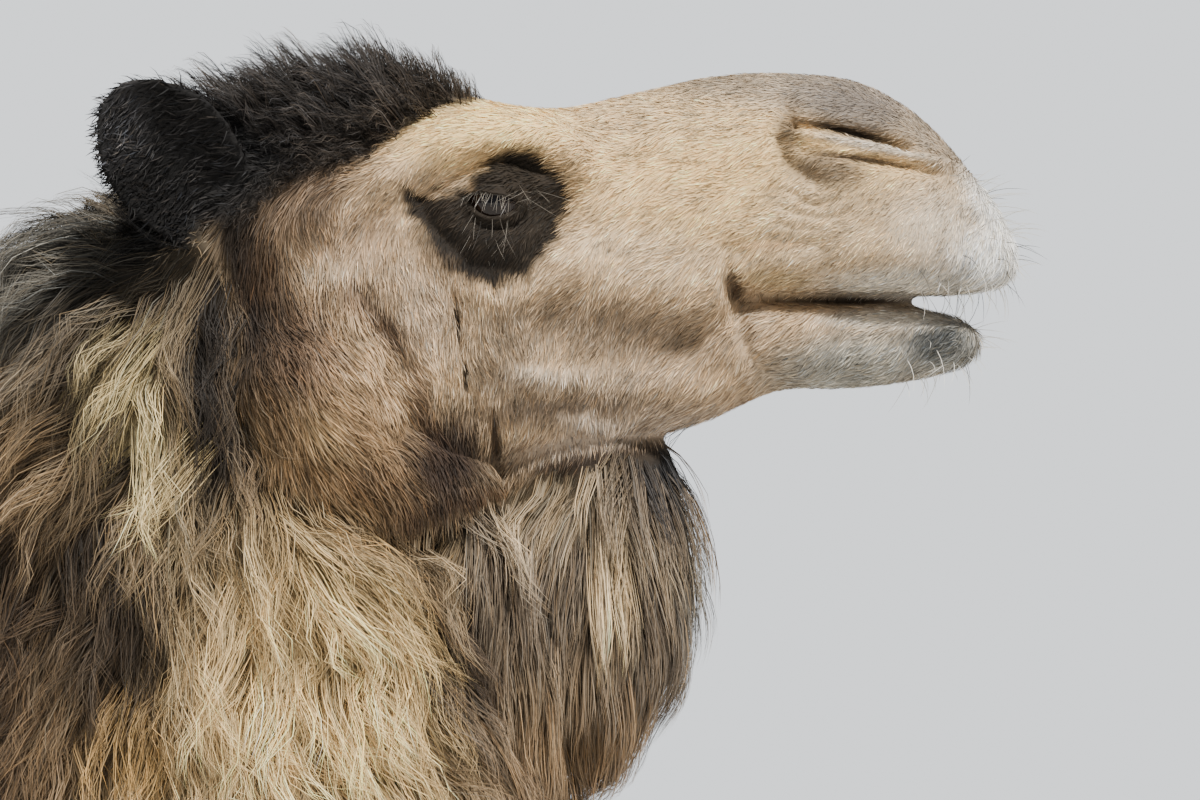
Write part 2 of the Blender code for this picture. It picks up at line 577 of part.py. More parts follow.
def ear_cutter(name, side):
    """A tapering sleeve round the ear, from just above its root to beyond its tip."""
    root, axis, mouth, width = ear_frame(side)
    turn = Matrix((-width, mouth, axis)).transposed().to_4x4()
    start, end = 0.24 * EAR_LENGTH, 1.30 * EAR_LENGTH

    def build(target, grow):
        shape = HEAD_PLACE @ Matrix.Translation(root + axis * ((start + end) / 2)) @ turn
        bmesh.ops.create_cone(
            target,
            cap_ends=True,
            segments=20,
            radius1=1.10 * EAR_WIDTH + grow,
            radius2=1.35 * EAR_WIDTH + grow,
            depth=end - start + 2 * grow,
            matrix=shape @ Matrix.Diagonal((1.0, 0.75, 1.0, 1.0)),
        )

    return cutter_of(f"ear_{name}_sleeve", build)


def ball_cutter(name, middle, half, place, segments, rings):
    def build(target, grow):
        grown = Vector(half) + Vector((grow, grow, grow))
        oval_ball(target, middle, grown, place, segments, rings)

    return cutter_of(f"{name}_ball", build)


def cut(obj, operation, other):
    modifier = obj.modifiers.new(operation.lower(), "BOOLEAN")
    modifier.operation = operation
    modifier.object = other
    modifier.use_self = True  # a thinned form can just touch itself in a fold


def paint(name):
    colour, roughness = PAINTS[name]
    material = bpy.data.materials.get(name) or bpy.data.materials.new(name)
    material.use_nodes = True
    shader = material.node_tree.nodes["Principled BSDF"]
    shader.inputs["Base Color"].default_value = (*colour, 1.0)
    shader.inputs["Roughness"].default_value = roughness
    material.diffuse_color = (*colour, 1.0)
    return material


def keep_largest_shell(shape):
    """Drops the crumbs that a cut leaves where it grazes the form."""
    left, shells = set(shape.verts), []
    while left:
        shell, edge = set(), {left.pop()}
        while edge:
            shell |= edge
            edge = {end for v in edge for e in v.link_edges for end in e.verts} - shell
        left -= shell
        shells.append(shell)
    largest = max(shells, key=len)
    crumbs = [vertex for shell in shells if shell is not largest for vertex in shell]
    bmesh.ops.delete(shape, geom=crumbs, context="VERTS")


def finish(name, mesh, paint_name, parts):
    """Links a piece, smooth but for the edges of its cuts."""
    shape = bmesh.new()
    shape.from_mesh(mesh)
    bmesh.ops.remove_doubles(shape, verts=shape.verts, dist=WELD)
    bmesh.ops.dissolve_degenerate(shape, edges=shape.edges, dist=WELD)
    keep_largest_shell(shape)
    for edge in shape.edges:
        edge.smooth = edge.calc_face_angle(0.0) < SHARP
    for face in shape.faces:
        face.smooth = True
        face.material_index = 0
    shape.to_mesh(mesh)
    shape.free()
    mesh.name = name
    mesh.materials.clear()
    material = paint(paint_name).copy()
    material.name = f"{name}_{paint_name}"
    mesh.materials.append(material)
    obj = bpy.data.objects.new(name, mesh)
    parts.objects.link(obj)
    return obj


def part_form(name, form, cutter, taken, paint_name, parts):
    """Makes a piece from what its cutter holds of the form, less the cutters in taken."""
    rough = bpy.data.objects.new(f"{name}_rough", form.data)
    helpers().objects.link(rough)
    cut(rough, "INTERSECT", cutter.own)
    for other in taken:
        apart = any(
            a.low[axis] > b.high[axis]
            for a, b in ((cutter, other), (other, cutter))
            for axis in range(3)
        )
        if not apart:
            cut(rough, "DIFFERENCE", other.grown)
    mesh = evaluated(rough)
    bpy.data.objects.remove(rough)
    return finish(name, mesh, paint_name, parts)


def main():
    for obj in list(bpy.data.objects):
        bpy.data.objects.remove(obj)
    parts = bpy.data.collections.new("camel")
    bpy.context.scene.collection.children.link(parts)

    head_relief = [(HEAD_RELIEF, HEAD_PLACE, side) for _, side in SIDES]
    head_relief.append(((LIP_CLEFT,), HEAD_PLACE, 1))
    toes = [((TOE_CLEFT,), foot_place(*leg), 1) for leg in each_leg()]
    forms = {
        "body": fused("body", add_body, BODY_FORM),
        "head": fused("head", add_head, HEAD_FORM, head_relief),
        "feet": fused("feet", add_feet, FEET_FORM, toes),
    }

    taken = []
    for name, side in SIDES:
        half = (EYE_RADIUS,) * 3
        eye = ball_cutter(f"eye_{name}", mirrored(EYE_AT, side), half, HEAD_PLACE, 14, 8)
        taken.append(eye)
        finish(f"eye_{name}", eye.own.data.copy(), "eye", parts)
    for leg in each_leg():
        front, name, _ = leg
        for toe, toe_side in (("outer", 1), ("inner", -1)):
            title = f"{'foreleg' if front else 'hindleg'}_{name}_nail_{toe}"
            middle = mirrored(NAIL_AT, toe_side * leg[2])
            nail = ball_cutter(title, middle, NAIL_HALF, foot_place(*leg), 8, 5)
            taken.append(nail)
            finish(title, nail.own.data.copy(), "nail", parts)
    for name, side in SIDES:
        ear = ear_cutter(name, side)
        part_form(f"ear_{name}", forms["head"], ear, [], "dark", parts)
        taken.append(ear)

    pieces = [(box, HEAD_PLACE, "", 1) for box in HEAD_BOXES]
    pieces += [(box, TO_WORLD, "", 1) for box in BODY_BOXES]
    pieces += [(box, TO_WORLD, f"_{name}", side) for name, side in SIDES for box in LEG_BOXES]
    pieces += [(box, TO_WORLD, "", 1) for box in TRUNK_BOXES]
    for box, place, suffix, side in pieces:
        cutter = box_cutter(box, place, side)
        part_form(box.name + suffix, forms[box.form], cutter, taken, box.paint, parts)
        taken.append(cutter)


main()
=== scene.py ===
"""The looks of a life-size standing Bactrian camel: skin, coat, eyes, nails and a plain studio.

Metres, +Z up. The camel looks along +X and its left side is +Y. One skin stands for all the
flesh. It is lofted from the same body lengths as the solids, and lies inside them by the
depth of the coat. The coat is made of thin solid tufts and locks that grow from it.
"""

import logging
import math
from dataclasses import dataclass
from enum import Enum
from typing import Callable, Iterator, NamedTuple, Sequence

import bmesh
import bpy
import numpy as np
from mathutils import Matrix, Vector
from mathutils.bvhtree import BVHTree


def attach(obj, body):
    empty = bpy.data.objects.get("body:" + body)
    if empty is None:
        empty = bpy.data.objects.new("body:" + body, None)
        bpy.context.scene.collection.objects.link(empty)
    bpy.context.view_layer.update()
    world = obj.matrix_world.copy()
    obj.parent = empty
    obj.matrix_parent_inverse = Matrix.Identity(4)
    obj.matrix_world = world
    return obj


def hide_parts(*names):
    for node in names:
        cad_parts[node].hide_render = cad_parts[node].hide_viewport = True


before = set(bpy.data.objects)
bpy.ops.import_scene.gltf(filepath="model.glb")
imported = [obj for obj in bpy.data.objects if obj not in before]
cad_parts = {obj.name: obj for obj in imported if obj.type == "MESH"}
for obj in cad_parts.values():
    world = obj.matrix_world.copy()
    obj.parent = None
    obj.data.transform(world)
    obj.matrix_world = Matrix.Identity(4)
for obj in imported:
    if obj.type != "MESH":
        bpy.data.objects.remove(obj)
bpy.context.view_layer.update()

Array = np.ndarray
LOG = logging.getLogger("camel")

# ---- Driving sizes, the same as those of the solids ------------------------------------------

BODY = "root"
SINK = 0.032  # the skin lies under the coat by the coat's depth, but never by more than this
SIDES = (("left", 1), ("right", -1))
MIDDLE = 0.346
POLL = Vector((1.15, 0.0, 1.95))
HEAD_AT = np.array((POLL.x - MIDDLE, 0.0, POLL.z))  # the poll, in the frame of the whole camel

EYE_AT = Vector((0.200, 0.066, 0.030))
EYE_RADIUS = 0.0205
EAR_ROOT = Vector((0.022, 0.064, 0.012))
EAR_AXIS = Vector((-0.58, 0.38, 0.72))
EAR_MOUTH = Vector((0.40, 0.90, -0.05))
EAR_LENGTH = 0.122
EAR_WIDTH = 0.046

FRONT_FOOT_X = 0.445
HIND_FOOT_X = -0.695
FRONT_STRIDE = {"left": 0.050, "right": -0.030}
HIND_STRIDE = {"left": -0.060, "right": 0.050}
HIND_FOOT_SIZE = 0.92
NAIL_AT = Vector((0.108, 0.038, 0.033))
NAIL_HALF = Vector((0.024, 0.021, 0.018))


class Ring(NamedTuple):
    """One cross-section of a body length, square to the path that the length follows."""

    x: float
    z: float
    dorsal: float
    ventral: float
    side: float
    coat: tuple = (0.02, 0.02, 0.02)
    y: float = 0.0
    full: tuple = (2.0, 2.0)


class Relief(NamedTuple):
    """A soft rise or hollow of the skin, round a middle point."""

    middle: tuple
    half: tuple
    rise: float


class Stroke(NamedTuple):
    """A crease or a ridge that follows a line on the side of the head."""

    line: tuple  # points of x and z, from the poll
    width: float
    rise: float


TRUNK = (
    Ring(-0.905, 1.385, 0.030, 0.040, 0.040),
    Ring(-0.870, 1.375, 0.095, 0.150, 0.110),
    Ring(-0.760, 1.370, 0.190, 0.270, 0.205),
    Ring(-0.600, 1.365, 0.270, 0.340, 0.255, (0.030, 0.025, 0.022)),
    Ring(-0.400, 1.345, 0.325, 0.360, 0.295, (0.035, 0.030, 0.025)),
    Ring(-0.130, 1.320, 0.345, 0.385, 0.330, (0.035, 0.035, 0.028)),
    Ring(0.110, 1.300, 0.375, 0.405, 0.330, (0.035, 0.035, 0.028)),
    Ring(0.320, 1.300, 0.405, 0.420, 0.290, (0.040, 0.035, 0.028)),
    Ring(0.500, 1.310, 0.360, 0.370, 0.240, (0.040, 0.045, 0.028)),
    Ring(0.650, 1.320, 0.270, 0.270, 0.185, (0.040, 0.060, 0.028)),
    Ring(0.770, 1.320, 0.150, 0.150, 0.115, (0.040, 0.060, 0.028)),
)

NECK = (
    Ring(0.480, 1.370, 0.270, 0.270, 0.175, (0.030, 0.050, 0.025)),
    Ring(0.660, 1.315, 0.225, 0.235, 0.150, (0.045, 0.075, 0.030)),
    Ring(0.830, 1.290, 0.180, 0.180, 0.122, (0.055, 0.100, 0.038)),
    Ring(0.985, 1.335, 0.155, 0.150, 0.105, (0.065, 0.115, 0.045)),
    Ring(1.110, 1.450, 0.138, 0.132, 0.095, (0.075, 0.115, 0.050)),
    Ring(1.185, 1.600, 0.125, 0.120, 0.090, (0.090, 0.120, 0.052)),
    Ring(1.205, 1.745, 0.115, 0.120, 0.085, (0.108, 0.085, 0.050), 0.0, (2.0, 1.8)),
    Ring(1.185, 1.855, 0.100, 0.120, 0.080, (0.118, 0.025, 0.040), 0.0, (2.0, 1.5)),
    Ring(1.178, 1.925, 0.085, 0.090, 0.070, (0.124, 0.000, 0.028), 0.0, (2.0, 1.5)),
    Ring(1.172, 1.970, 0.062, 0.060, 0.050, (0.110, 0.000, 0.020), 0.0, (2.0, 1.6)),
    Ring(1.168, 1.996, 0.030, 0.030, 0.022, (0.080, 0.000, 0.020)),
)
NECK_TOP = 4  # the neck from this ring on is also part of the head's own form

FRONT_HUMP = (
    Ring(0.215, 1.560, 0.300, 0.280, 0.180, (0.02, 0.02, 0.02)),
    Ring(0.215, 1.720, 0.215, 0.205, 0.140, (0.02, 0.02, 0.02)),
    Ring(0.215, 1.860, 0.160, 0.150, 0.110, (0.025, 0.025, 0.025)),
    Ring(0.210, 1.980, 0.118, 0.105, 0.082, (0.03, 0.03, 0.03)),
    Ring(0.200, 2.070, 0.080, 0.070, 0.056, (0.035, 0.035, 0.035)),
    Ring(0.192, 2.115, 0.035, 0.030, 0.026, (0.035, 0.035, 0.035)),
    Ring(0.190, 2.140, 0.010, 0.010, 0.010, (0.025, 0.025, 0.025)),
)

REAR_HUMP = (
    Ring(-0.440, 1.520, 0.290, 0.290, 0.170, (0.02, 0.02, 0.02)),
    Ring(-0.440, 1.690, 0.220, 0.215, 0.140, (0.02, 0.02, 0.02)),
    Ring(-0.440, 1.820, 0.165, 0.160, 0.110, (0.025, 0.025, 0.025)),
    Ring(-0.448, 1.930, 0.120, 0.115, 0.082, (0.03, 0.03, 0.03)),
    Ring(-0.460, 2.015, 0.080, 0.075, 0.056, (0.035, 0.035, 0.035)),
    Ring(-0.470, 2.060, 0.035, 0.032, 0.026, (0.035, 0.035, 0.035)),
    Ring(-0.472, 2.085, 0.010, 0.010, 0.010, (0.025, 0.025, 0.025)),
)

TAIL = (
    Ring(-0.850, 1.470, 0.040, 0.040, 0.040, (0.01, 0.01, 0.01)),
    Ring(-0.915, 1.430, 0.030, 0.030, 0.030, (0.012, 0.012, 0.012)),
    Ring(-0.955, 1.340, 0.022, 0.022, 0.024, (0.015, 0.015, 0.015)),
    Ring(-0.965, 1.220, 0.017, 0.017, 0.018, (0.022, 0.022, 0.022)),
    Ring(-0.962, 1.100, 0.013, 0.013, 0.014, (0.032, 0.032, 0.030)),
    Ring(-0.957, 0.990, 0.009, 0.009, 0.009, (0.038, 0.038, 0.036)),
    Ring(-0.955, 0.900, 0.004, 0.004, 0.004, (0.026, 0.026, 0.024)),
    Ring(-0.955, 0.855, 0.002, 0.002, 0.002, (0.010, 0.010, 0.010)),
)

# A leg's path runs down from inside the trunk, so its dorsal side is its front. x is measured
# from the foot's middle, and the stride grows from none at the trunk to all at the floor.
FORELEG = (
    Ring(0.030, 1.360, 0.120, 0.140, 0.095, (0.020, 0.020, 0.020), 0.140),
    Ring(0.015, 1.210, 0.125, 0.135, 0.105, (0.022, 0.022, 0.020), 0.160),
    Ring(-0.010, 1.060, 0.100, 0.110, 0.085, (0.032, 0.037, 0.026), 0.172),
    Ring(-0.020, 0.910, 0.074, 0.080, 0.066, (0.044, 0.050, 0.036), 0.170),
    Ring(-0.020, 0.750, 0.056, 0.058, 0.053, (0.040, 0.044, 0.034), 0.165),
    Ring(-0.013, 0.630, 0.051, 0.048, 0.050, (0.016, 0.020, 0.015), 0.162),
    Ring(-0.010, 0.560, 0.056, 0.050, 0.057, (0.007, 0.010, 0.008), 0.160),
    Ring(-0.012, 0.490, 0.047, 0.046, 0.050, (0.006, 0.009, 0.007), 0.160),
    Ring(-0.014, 0.410, 0.034, 0.038, 0.037, (0.006, 0.009, 0.006), 0.160),
    Ring(-0.013, 0.280, 0.030, 0.037, 0.033, (0.006, 0.009, 0.006), 0.160),
    Ring(-0.010, 0.190, 0.038, 0.044, 0.045, (0.006, 0.009, 0.006), 0.160),
    Ring(0.005, 0.110, 0.043, 0.044, 0.054, (0.006, 0.009, 0.006), 0.160),
    Ring(0.012, 0.070, 0.060, 0.058, 0.062, (0.005, 0.005, 0.005), 0.160),
)

HINDLEG = (
    Ring(0.080, 1.430, 0.160, 0.150, 0.090, (0.020, 0.020, 0.020), 0.125),
    Ring(0.100, 1.270, 0.175, 0.165, 0.105, (0.020, 0.020, 0.020), 0.155),
    Ring(0.120, 1.110, 0.140, 0.145, 0.090, (0.020, 0.022, 0.020), 0.172),
    Ring(0.090, 0.970, 0.098, 0.105, 0.070, (0.018, 0.022, 0.016), 0.172),
    Ring(0.030, 0.840, 0.064, 0.070, 0.052, (0.012, 0.016, 0.012), 0.170),
    Ring(-0.030, 0.725, 0.046, 0.056, 0.043, (0.010, 0.012, 0.010), 0.168),
    Ring(-0.065, 0.640, 0.049, 0.055, 0.046, (0.008, 0.010, 0.008), 0.168),
    Ring(-0.068, 0.550, 0.041, 0.045, 0.042, (0.007, 0.009, 0.007), 0.168),
    Ring(-0.058, 0.420, 0.033, 0.037, 0.034, (0.006, 0.009, 0.006), 0.168),
    Ring(-0.045, 0.280, 0.031, 0.036, 0.032, (0.006, 0.009, 0.006), 0.168),
    Ring(-0.034, 0.190, 0.036, 0.042, 0.042, (0.006, 0.009, 0.006), 0.168),
    Ring(-0.008, 0.110, 0.041, 0.042, 0.050, (0.006, 0.009, 0.006), 0.168),
    Ring(0.004, 0.070, 0.056, 0.055, 0.058, (0.005, 0.005, 0.005), 0.168),
)
SHANK_END = 9  # the leg from this ring on is also part of the feet's own form

FOOT = (
    Ring(0.005, 0.130, 0.044, 0.044, 0.050, (0.006, 0.006, 0.006)),
    Ring(0.010, 0.085, 0.078, 0.066, 0.074, (0.006, 0.006, 0.006), 0.0, (2.3, 2.0)),
    Ring(0.012, 0.050, 0.102, 0.080, 0.092, (0.004, 0.004, 0.004), 0.0, (2.6, 2.0)),
    Ring(0.012, 0.020, 0.112, 0.086, 0.100, (0.002, 0.002, 0.002), 0.0, (2.7, 2.1)),
    Ring(0.012, -0.012, 0.108, 0.084, 0.098, (0.0, 0.0, 0.0), 0.0, (2.7, 2.1)),
)


def upright_ring(x, top, widest, bottom, side, coat, full=(2.0, 2.0)):
    """A head section standing upright, from heights above and below the poll."""
    return Ring(x, widest, top - widest, widest - bottom, side, coat, 0.0, full)


SKULL = (
    upright_ring(-0.045, 0.040, 0.000, -0.045, 0.034, (0.020, 0.02, 0.015)),
    upright_ring(-0.020, 0.078, 0.005, -0.085, 0.062, (0.024, 0.02, 0.015)),
    upright_ring(0.040, 0.104, 0.010, -0.135, 0.080, (0.027, 0.015, 0.012)),
    upright_ring(0.100, 0.116, 0.012, -0.160, 0.086, (0.030, 0.010, 0.009), (1.9, 2.0)),
    upright_ring(0.150, 0.112, 0.015, -0.160, 0.086, (0.029, 0.008, 0.007), (1.9, 2.1)),
    upright_ring(0.190, 0.100, 0.018, -0.145, 0.084, (0.012, 0.007, 0.006), (2.1, 2.2)),
    upright_ring(0.240, 0.094, 0.018, -0.132, 0.076, (0.005, 0.006, 0.005), (2.3, 2.3)),
    upright_ring(0.290, 0.104, 0.018, -0.112, 0.066, (0.005, 0.006, 0.005), (2.3, 2.3)),
    upright_ring(0.335, 0.114, 0.018, -0.080, 0.060, (0.004, 0.006, 0.005), (2.3, 2.3)),
    upright_ring(0.370, 0.118, 0.018, -0.040, 0.058, (0.004, 0.006, 0.005), (2.3, 2.4)),
    upright_ring(0.405, 0.117, 0.018, -0.031, 0.059, (0.004, 0.002, 0.005), (2.2, 2.6)),
    upright_ring(0.440, 0.109, 0.014, -0.030, 0.060, (0.004, 0.002, 0.005), (2.1, 2.8)),
    upright_ring(0.475, 0.088, 0.006, -0.030, 0.056, (0.004, 0.002, 0.005), (2.1, 2.6)),
    upright_ring(0.507, 0.060, 0.000, -0.029, 0.047, (0.004, 0.002, 0.005), (2.0, 2.4)),
    upright_ring(0.533, 0.030, -0.006, -0.025, 0.034, (0.004, 0.003, 0.005), (2.0, 2.2)),
    upright_ring(0.546, 0.006, -0.008, -0.018, 0.016, (0.004, 0.005, 0.005)),
)

JAW = (
    upright_ring(0.055, -0.075, -0.105, -0.145, 0.030, (0.008, 0.018, 0.012)),
    upright_ring(0.085, -0.050, -0.105, -0.165, 0.052, (0.008, 0.018, 0.012)),
    upright_ring(0.140, -0.030, -0.105, -0.172, 0.060, (0.006, 0.012, 0.010), (2.0, 2.2)),
    upright_ring(0.200, -0.020, -0.095, -0.143, 0.056, (0.005, 0.007, 0.007), (2.0, 2.0)),
    upright_ring(0.260, -0.020, -0.085, -0.133, 0.050, (0.005, 0.006, 0.006), (2.0, 1.9)),
    upright_ring(0.330, -0.015, -0.072, -0.117, 0.046, (0.005, 0.006, 0.006), (2.0, 2.0)),
    upright_ring(0.385, -0.028, -0.062, -0.094, 0.043, (0.002, 0.006, 0.006), (2.4, 2.1)),
    upright_ring(0.430, -0.034, -0.063, -0.092, 0.041, (0.001, 0.006, 0.006), (2.6, 2.2)),
    upright_ring(0.470, -0.037, -0.062, -0.088, 0.037, (0.001, 0.006, 0.006), (2.6, 2.2)),
    upright_ring(0.500, -0.045, -0.061, -0.081, 0.028, (0.001, 0.006, 0.006), (2.4, 2.0)),
    upright_ring(0.519, -0.055, -0.062, -0.069, 0.013, (0.002, 0.005, 0.005)),
)

# The beard hangs from the throat, so its dorsal side is its front.
BEARD = (
    Ring(0.250, -0.110, 0.050, 0.050, 0.027, (0.010, 0.010, 0.008)),
    Ring(0.254, -0.155, 0.066, 0.070, 0.040, (0.020, 0.020, 0.018)),
    Ring(0.257, -0.205, 0.067, 0.073, 0.049, (0.025, 0.025, 0.023)),
    Ring(0.258, -0.255, 0.064, 0.070, 0.050, (0.028, 0.028, 0.026)),
    Ring(0.258, -0.298, 0.048, 0.055, 0.038, (0.030, 0.030, 0.028)),
    Ring(0.264, -0.328, 0.022, 0.030, 0.016, (0.030, 0.030, 0.029)),
    Ring(0.270, -0.343, 0.004, 0.004, 0.004, (0.014, 0.014, 0.012)),
)

# From the poll, and the same on both sides.
HEAD_RELIEF = (
    Relief((0.195, 0.080, 0.070), (0.078, 0.050, 0.036), 0.012),  # brow
    Relief((0.203, 0.090, 0.028), (0.050, 0.040, 0.024), -0.010),  # hollow of the eye
    Relief((0.215, 0.080, -0.008), (0.065, 0.050, 0.026), 0.005),  # lower rim of the orbit
    Relief((0.115, 0.080, -0.090), (0.090, 0.060, 0.085), 0.009),  # chewing muscle
    Relief((0.285, 0.062, -0.045), (0.090, 0.050, 0.050), -0.004),  # hollow of the cheek
    Relief((0.300, 0.058, 0.060), (0.080, 0.050, 0.045), -0.004),  # side of the nose bridge
    Relief((0.430, 0.050, 0.062), (0.075, 0.050, 0.045), 0.007),  # nostril
    Relief((0.428, 0.060, 0.070), (0.055, 0.030, 0.012), -0.006),  # slit of the nostril
    Relief((0.478, 0.045, -0.006), (0.068, 0.045, 0.036), 0.005),  # upper lip
    Relief((0.358, 0.050, -0.030), (0.020, 0.030, 0.012), -0.005),  # corner of the mouth
    Relief((0.440, 0.040, -0.078), (0.060, 0.040, 0.030), 0.004),  # chin
    Relief((0.470, 0.0, 0.092), (0.095, 0.075, 0.060), 0.0024),  # front of the nose
    Relief((0.508, 0, -0.062), (0.026, 0.040, 0.026), 0.0019),  # blunt tip of the lower lip
)
LIP_CLEFT = Relief((0.545, 0.0, 0.010), (0.045, 0.012, 0.050), -0.004)

# From the middle of a foot, at its front end.
TOE_TOP = Relief((0.094, 0.038, 0.050), (0.042, 0.027, 0.032), 0.014)
TOE_CLEFT = Relief((0.125, 0.0, 0.030), (0.070, 0.016, 0.070), -0.016)

CHEST_PAD_AT = (0.415, 0.0, 0.875)
CHEST_PAD_HALF = (0.120, 0.064, 0.045)

GLAND_AT = (0.070, 0.045, -0.105)  # from the poll, below the ear and behind the jaw
GLAND_HALF = (0.070, 0.050, 0.070)

# Creases and ridges of the head, in x and z from the poll. Both sides have them.
CREASES = (
    Stroke(((0.397, 0.083), (0.420, 0.0795), (0.446, 0.0730), (0.472, 0.0655)), 0.0040, -0.0085),
    Stroke(((0.402, 0.0735), (0.438, 0.0675), (0.470, 0.0610), (0.496, 0.0555)), 0.0048, 0.0052),
    Stroke(((0.402, 0.0635), (0.436, 0.0590), (0.470, 0.0540), (0.490, 0.0500)), 0.0038, -0.0040),
    Stroke(((0.392, 0.092), (0.384, 0.075), (0.390, 0.056), (0.409, 0.044)), 0.0062, -0.0044),
    Stroke(((0.404, 0.097), (0.436, 0.092), (0.468, 0.080)), 0.0100, 0.0030),
    Stroke(((0.392, 0.0365), (0.402, 0.0325)), 0.0024, -0.0013),
    Stroke(((0.399, 0.0300), (0.412, 0.0275), (0.425, 0.0315)), 0.0024, -0.0013),
    Stroke(((0.388, 0.0260), (0.400, 0.0215)), 0.0024, -0.0011),
    Stroke(((0.406, 0.0205), (0.418, 0.0190), (0.433, 0.0235)), 0.0026, -0.0010),
    Stroke(((0.386, 0.0155), (0.396, 0.0130), (0.409, 0.0120)), 0.0026, -0.0011),
    Stroke(((0.352, 0.000), (0.370, 0.005), (0.390, 0.005), (0.412, 0.001)), 0.0060, -0.0026),
    Stroke(((0.366, -0.010), (0.385, -0.010), (0.404, -0.014)), 0.0070, 0.0020),
    Stroke(
        ((0.362, -0.006), (0.355, -0.011), (0.353, -0.020), (0.357, -0.029), (0.368, -0.034)),
        0.0068,
        -0.0050,
    ),
    Stroke(((0.362, -0.030), (0.385, -0.033), (0.410, -0.034), (0.440, -0.034)), 0.0032, -0.0050),
    Stroke(
        ((0.358, -0.040), (0.362, -0.058), (0.370, -0.074), (0.382, -0.088), (0.402, -0.100)),
        0.0075,
        -0.0042,
    ),
    Stroke(((0.342, -0.010), (0.337, -0.035), (0.346, -0.066)), 0.0120, 0.0016),
    Stroke(((0.172, -0.028), (0.176, -0.054), (0.181, -0.094)), 0.0022, -0.0024),
    Stroke(((0.196, -0.105), (0.201, -0.148)), 0.0040, -0.0034),
    Stroke(((0.199, -0.074), (0.212, -0.080), (0.232, -0.085), (0.258, -0.087)), 0.0055, 0.0026),
    Stroke(((0.240, -0.110), (0.260, -0.115), (0.285, -0.118)), 0.0050, 0.0022),
    Stroke(((0.205, -0.095), (0.230, -0.101), (0.262, -0.103)), 0.0065, -0.0024),
    Stroke(((0.235, -0.058), (0.270, -0.064), (0.305, -0.066), (0.326, -0.066)), 0.0220, -0.0056),
    Stroke(((0.256, -0.016), (0.300, -0.028), (0.342, -0.036)), 0.0160, 0.0044),
    Stroke(((0.174, -0.020), (0.178, -0.056), (0.184, -0.105)), 0.0090, -0.0034),
    Stroke(
        ((0.130, 0.044), (0.155, 0.062), (0.185, 0.076), (0.212, 0.078), (0.238, 0.070), (0.256, 0.052)),
        0.0130,
        0.0095,
    ),
    Stroke(((0.152, 0.036), (0.176, 0.047), (0.205, 0.056), (0.232, 0.051)), 0.0080, -0.0095),
    Stroke(
        ((0.150, 0.026), (0.165, 0.004), (0.186, -0.012), (0.214, -0.014), (0.238, 0.006), (0.246, 0.028)),
        0.0110,
        -0.0060,
    ),
    Stroke(((0.150, 0.012), (0.172, -0.020), (0.200, -0.036), (0.236, -0.024)), 0.0080, 0.0034),
    Stroke(((0.085, 0.022), (0.110, 0.036), (0.136, 0.046)), 0.0140, 0.0050),
    Stroke(((0.075, -0.010), (0.110, 0.000), (0.145, 0.010)), 0.0200, -0.0042),
    Stroke(((0.112, -0.030), (0.126, -0.052), (0.140, -0.078)), 0.0080, -0.0040),
    Stroke(((0.092, -0.020), (0.104, -0.050), (0.116, -0.080)), 0.0090, 0.0026),
    Stroke(((0.148, -0.030), (0.152, -0.070), (0.158, -0.110)), 0.0090, 0.0026),
    Stroke(((0.215, -0.122), (0.280, -0.116), (0.350, -0.092)), 0.0080, 0.0026),
    Stroke(((0.060, -0.090), (0.085, -0.125), (0.125, -0.150), (0.165, -0.152)), 0.0300, 0.0110),
    Stroke(
        ((0.024, -0.07), (0.022, -0.10), (0.036, -0.145), (0.066, -0.170), (0.10, -0.188),
         (0.136, -0.200), (0.170, -0.200), (0.203, -0.180), (0.240, -0.160)),
        0.0120,
        -0.0100,
    ),
    Stroke(((0.156, -0.200), (0.170, -0.240), (0.187, -0.290), (0.206, -0.340)), 0.0110, -0.0140),
    Stroke(((0.186, -0.196), (0.205, -0.240), (0.222, -0.290)), 0.0240, 0.0080),
)


def ladder(rings: Sequence[Ring], steps: int) -> Array:
    """Blends smooth rows of numbers between the rings, with the reaches of the skin.

    Args:
        rings: The sections that the length passes through.
        steps: How many rows stand for each gap.

    Returns:
        One row each of x, y, z, dorsal, ventral and side reach, and fullness up and down.
    """
    rows = []
    for ring in rings:
        reach = [
            flesh + max(coat - SINK, 0.0)
            for flesh, coat in zip((ring.dorsal, ring.ventral, ring.side), ring.coat)
        ]
        rows.append((ring.x, ring.y, ring.z, *reach, *ring.full))
    given = np.array(rows, float)
    ends = np.vstack((2 * given[0] - given[1], given, 2 * given[-1] - given[-2]))
    found = []
    for k in range(len(given) - 1):
        a, b, c, d = ends[k : k + 4]
        for t in np.arange(steps) / steps:
            bend = (c - a) * t + (2 * a - 5 * b + 4 * c - d) * t**2
            found.append(b + 0.5 * (bend + (3 * b - a - 3 * c + d) * t**3))
    found.append(given[-1])
    return np.maximum(np.array(found), [-9.0, -9.0, -9.0, 4e-4, 4e-4, 4e-4, 1.2, 1.2])


def mirrored(point: Sequence[float], side: int) -> Vector:
    """Gives the point on the left side, or its twin on the right."""
    return Vector((point[0], side * point[1], point[2]))


def unit(vectors: Array) -> Array:
    """Scales each row to length one."""
    return vectors / np.maximum(np.linalg.norm(vectors, axis=-1, keepdims=True), 1e-12)


def soft(low: float, high: float, value: Array) -> Array:
    """Rises smoothly from 0 at low to 1 at high."""
    share = np.clip((value - low) / (high - low), 0.0, 1.0)
    return share * share * (3.0 - 2.0 * share)


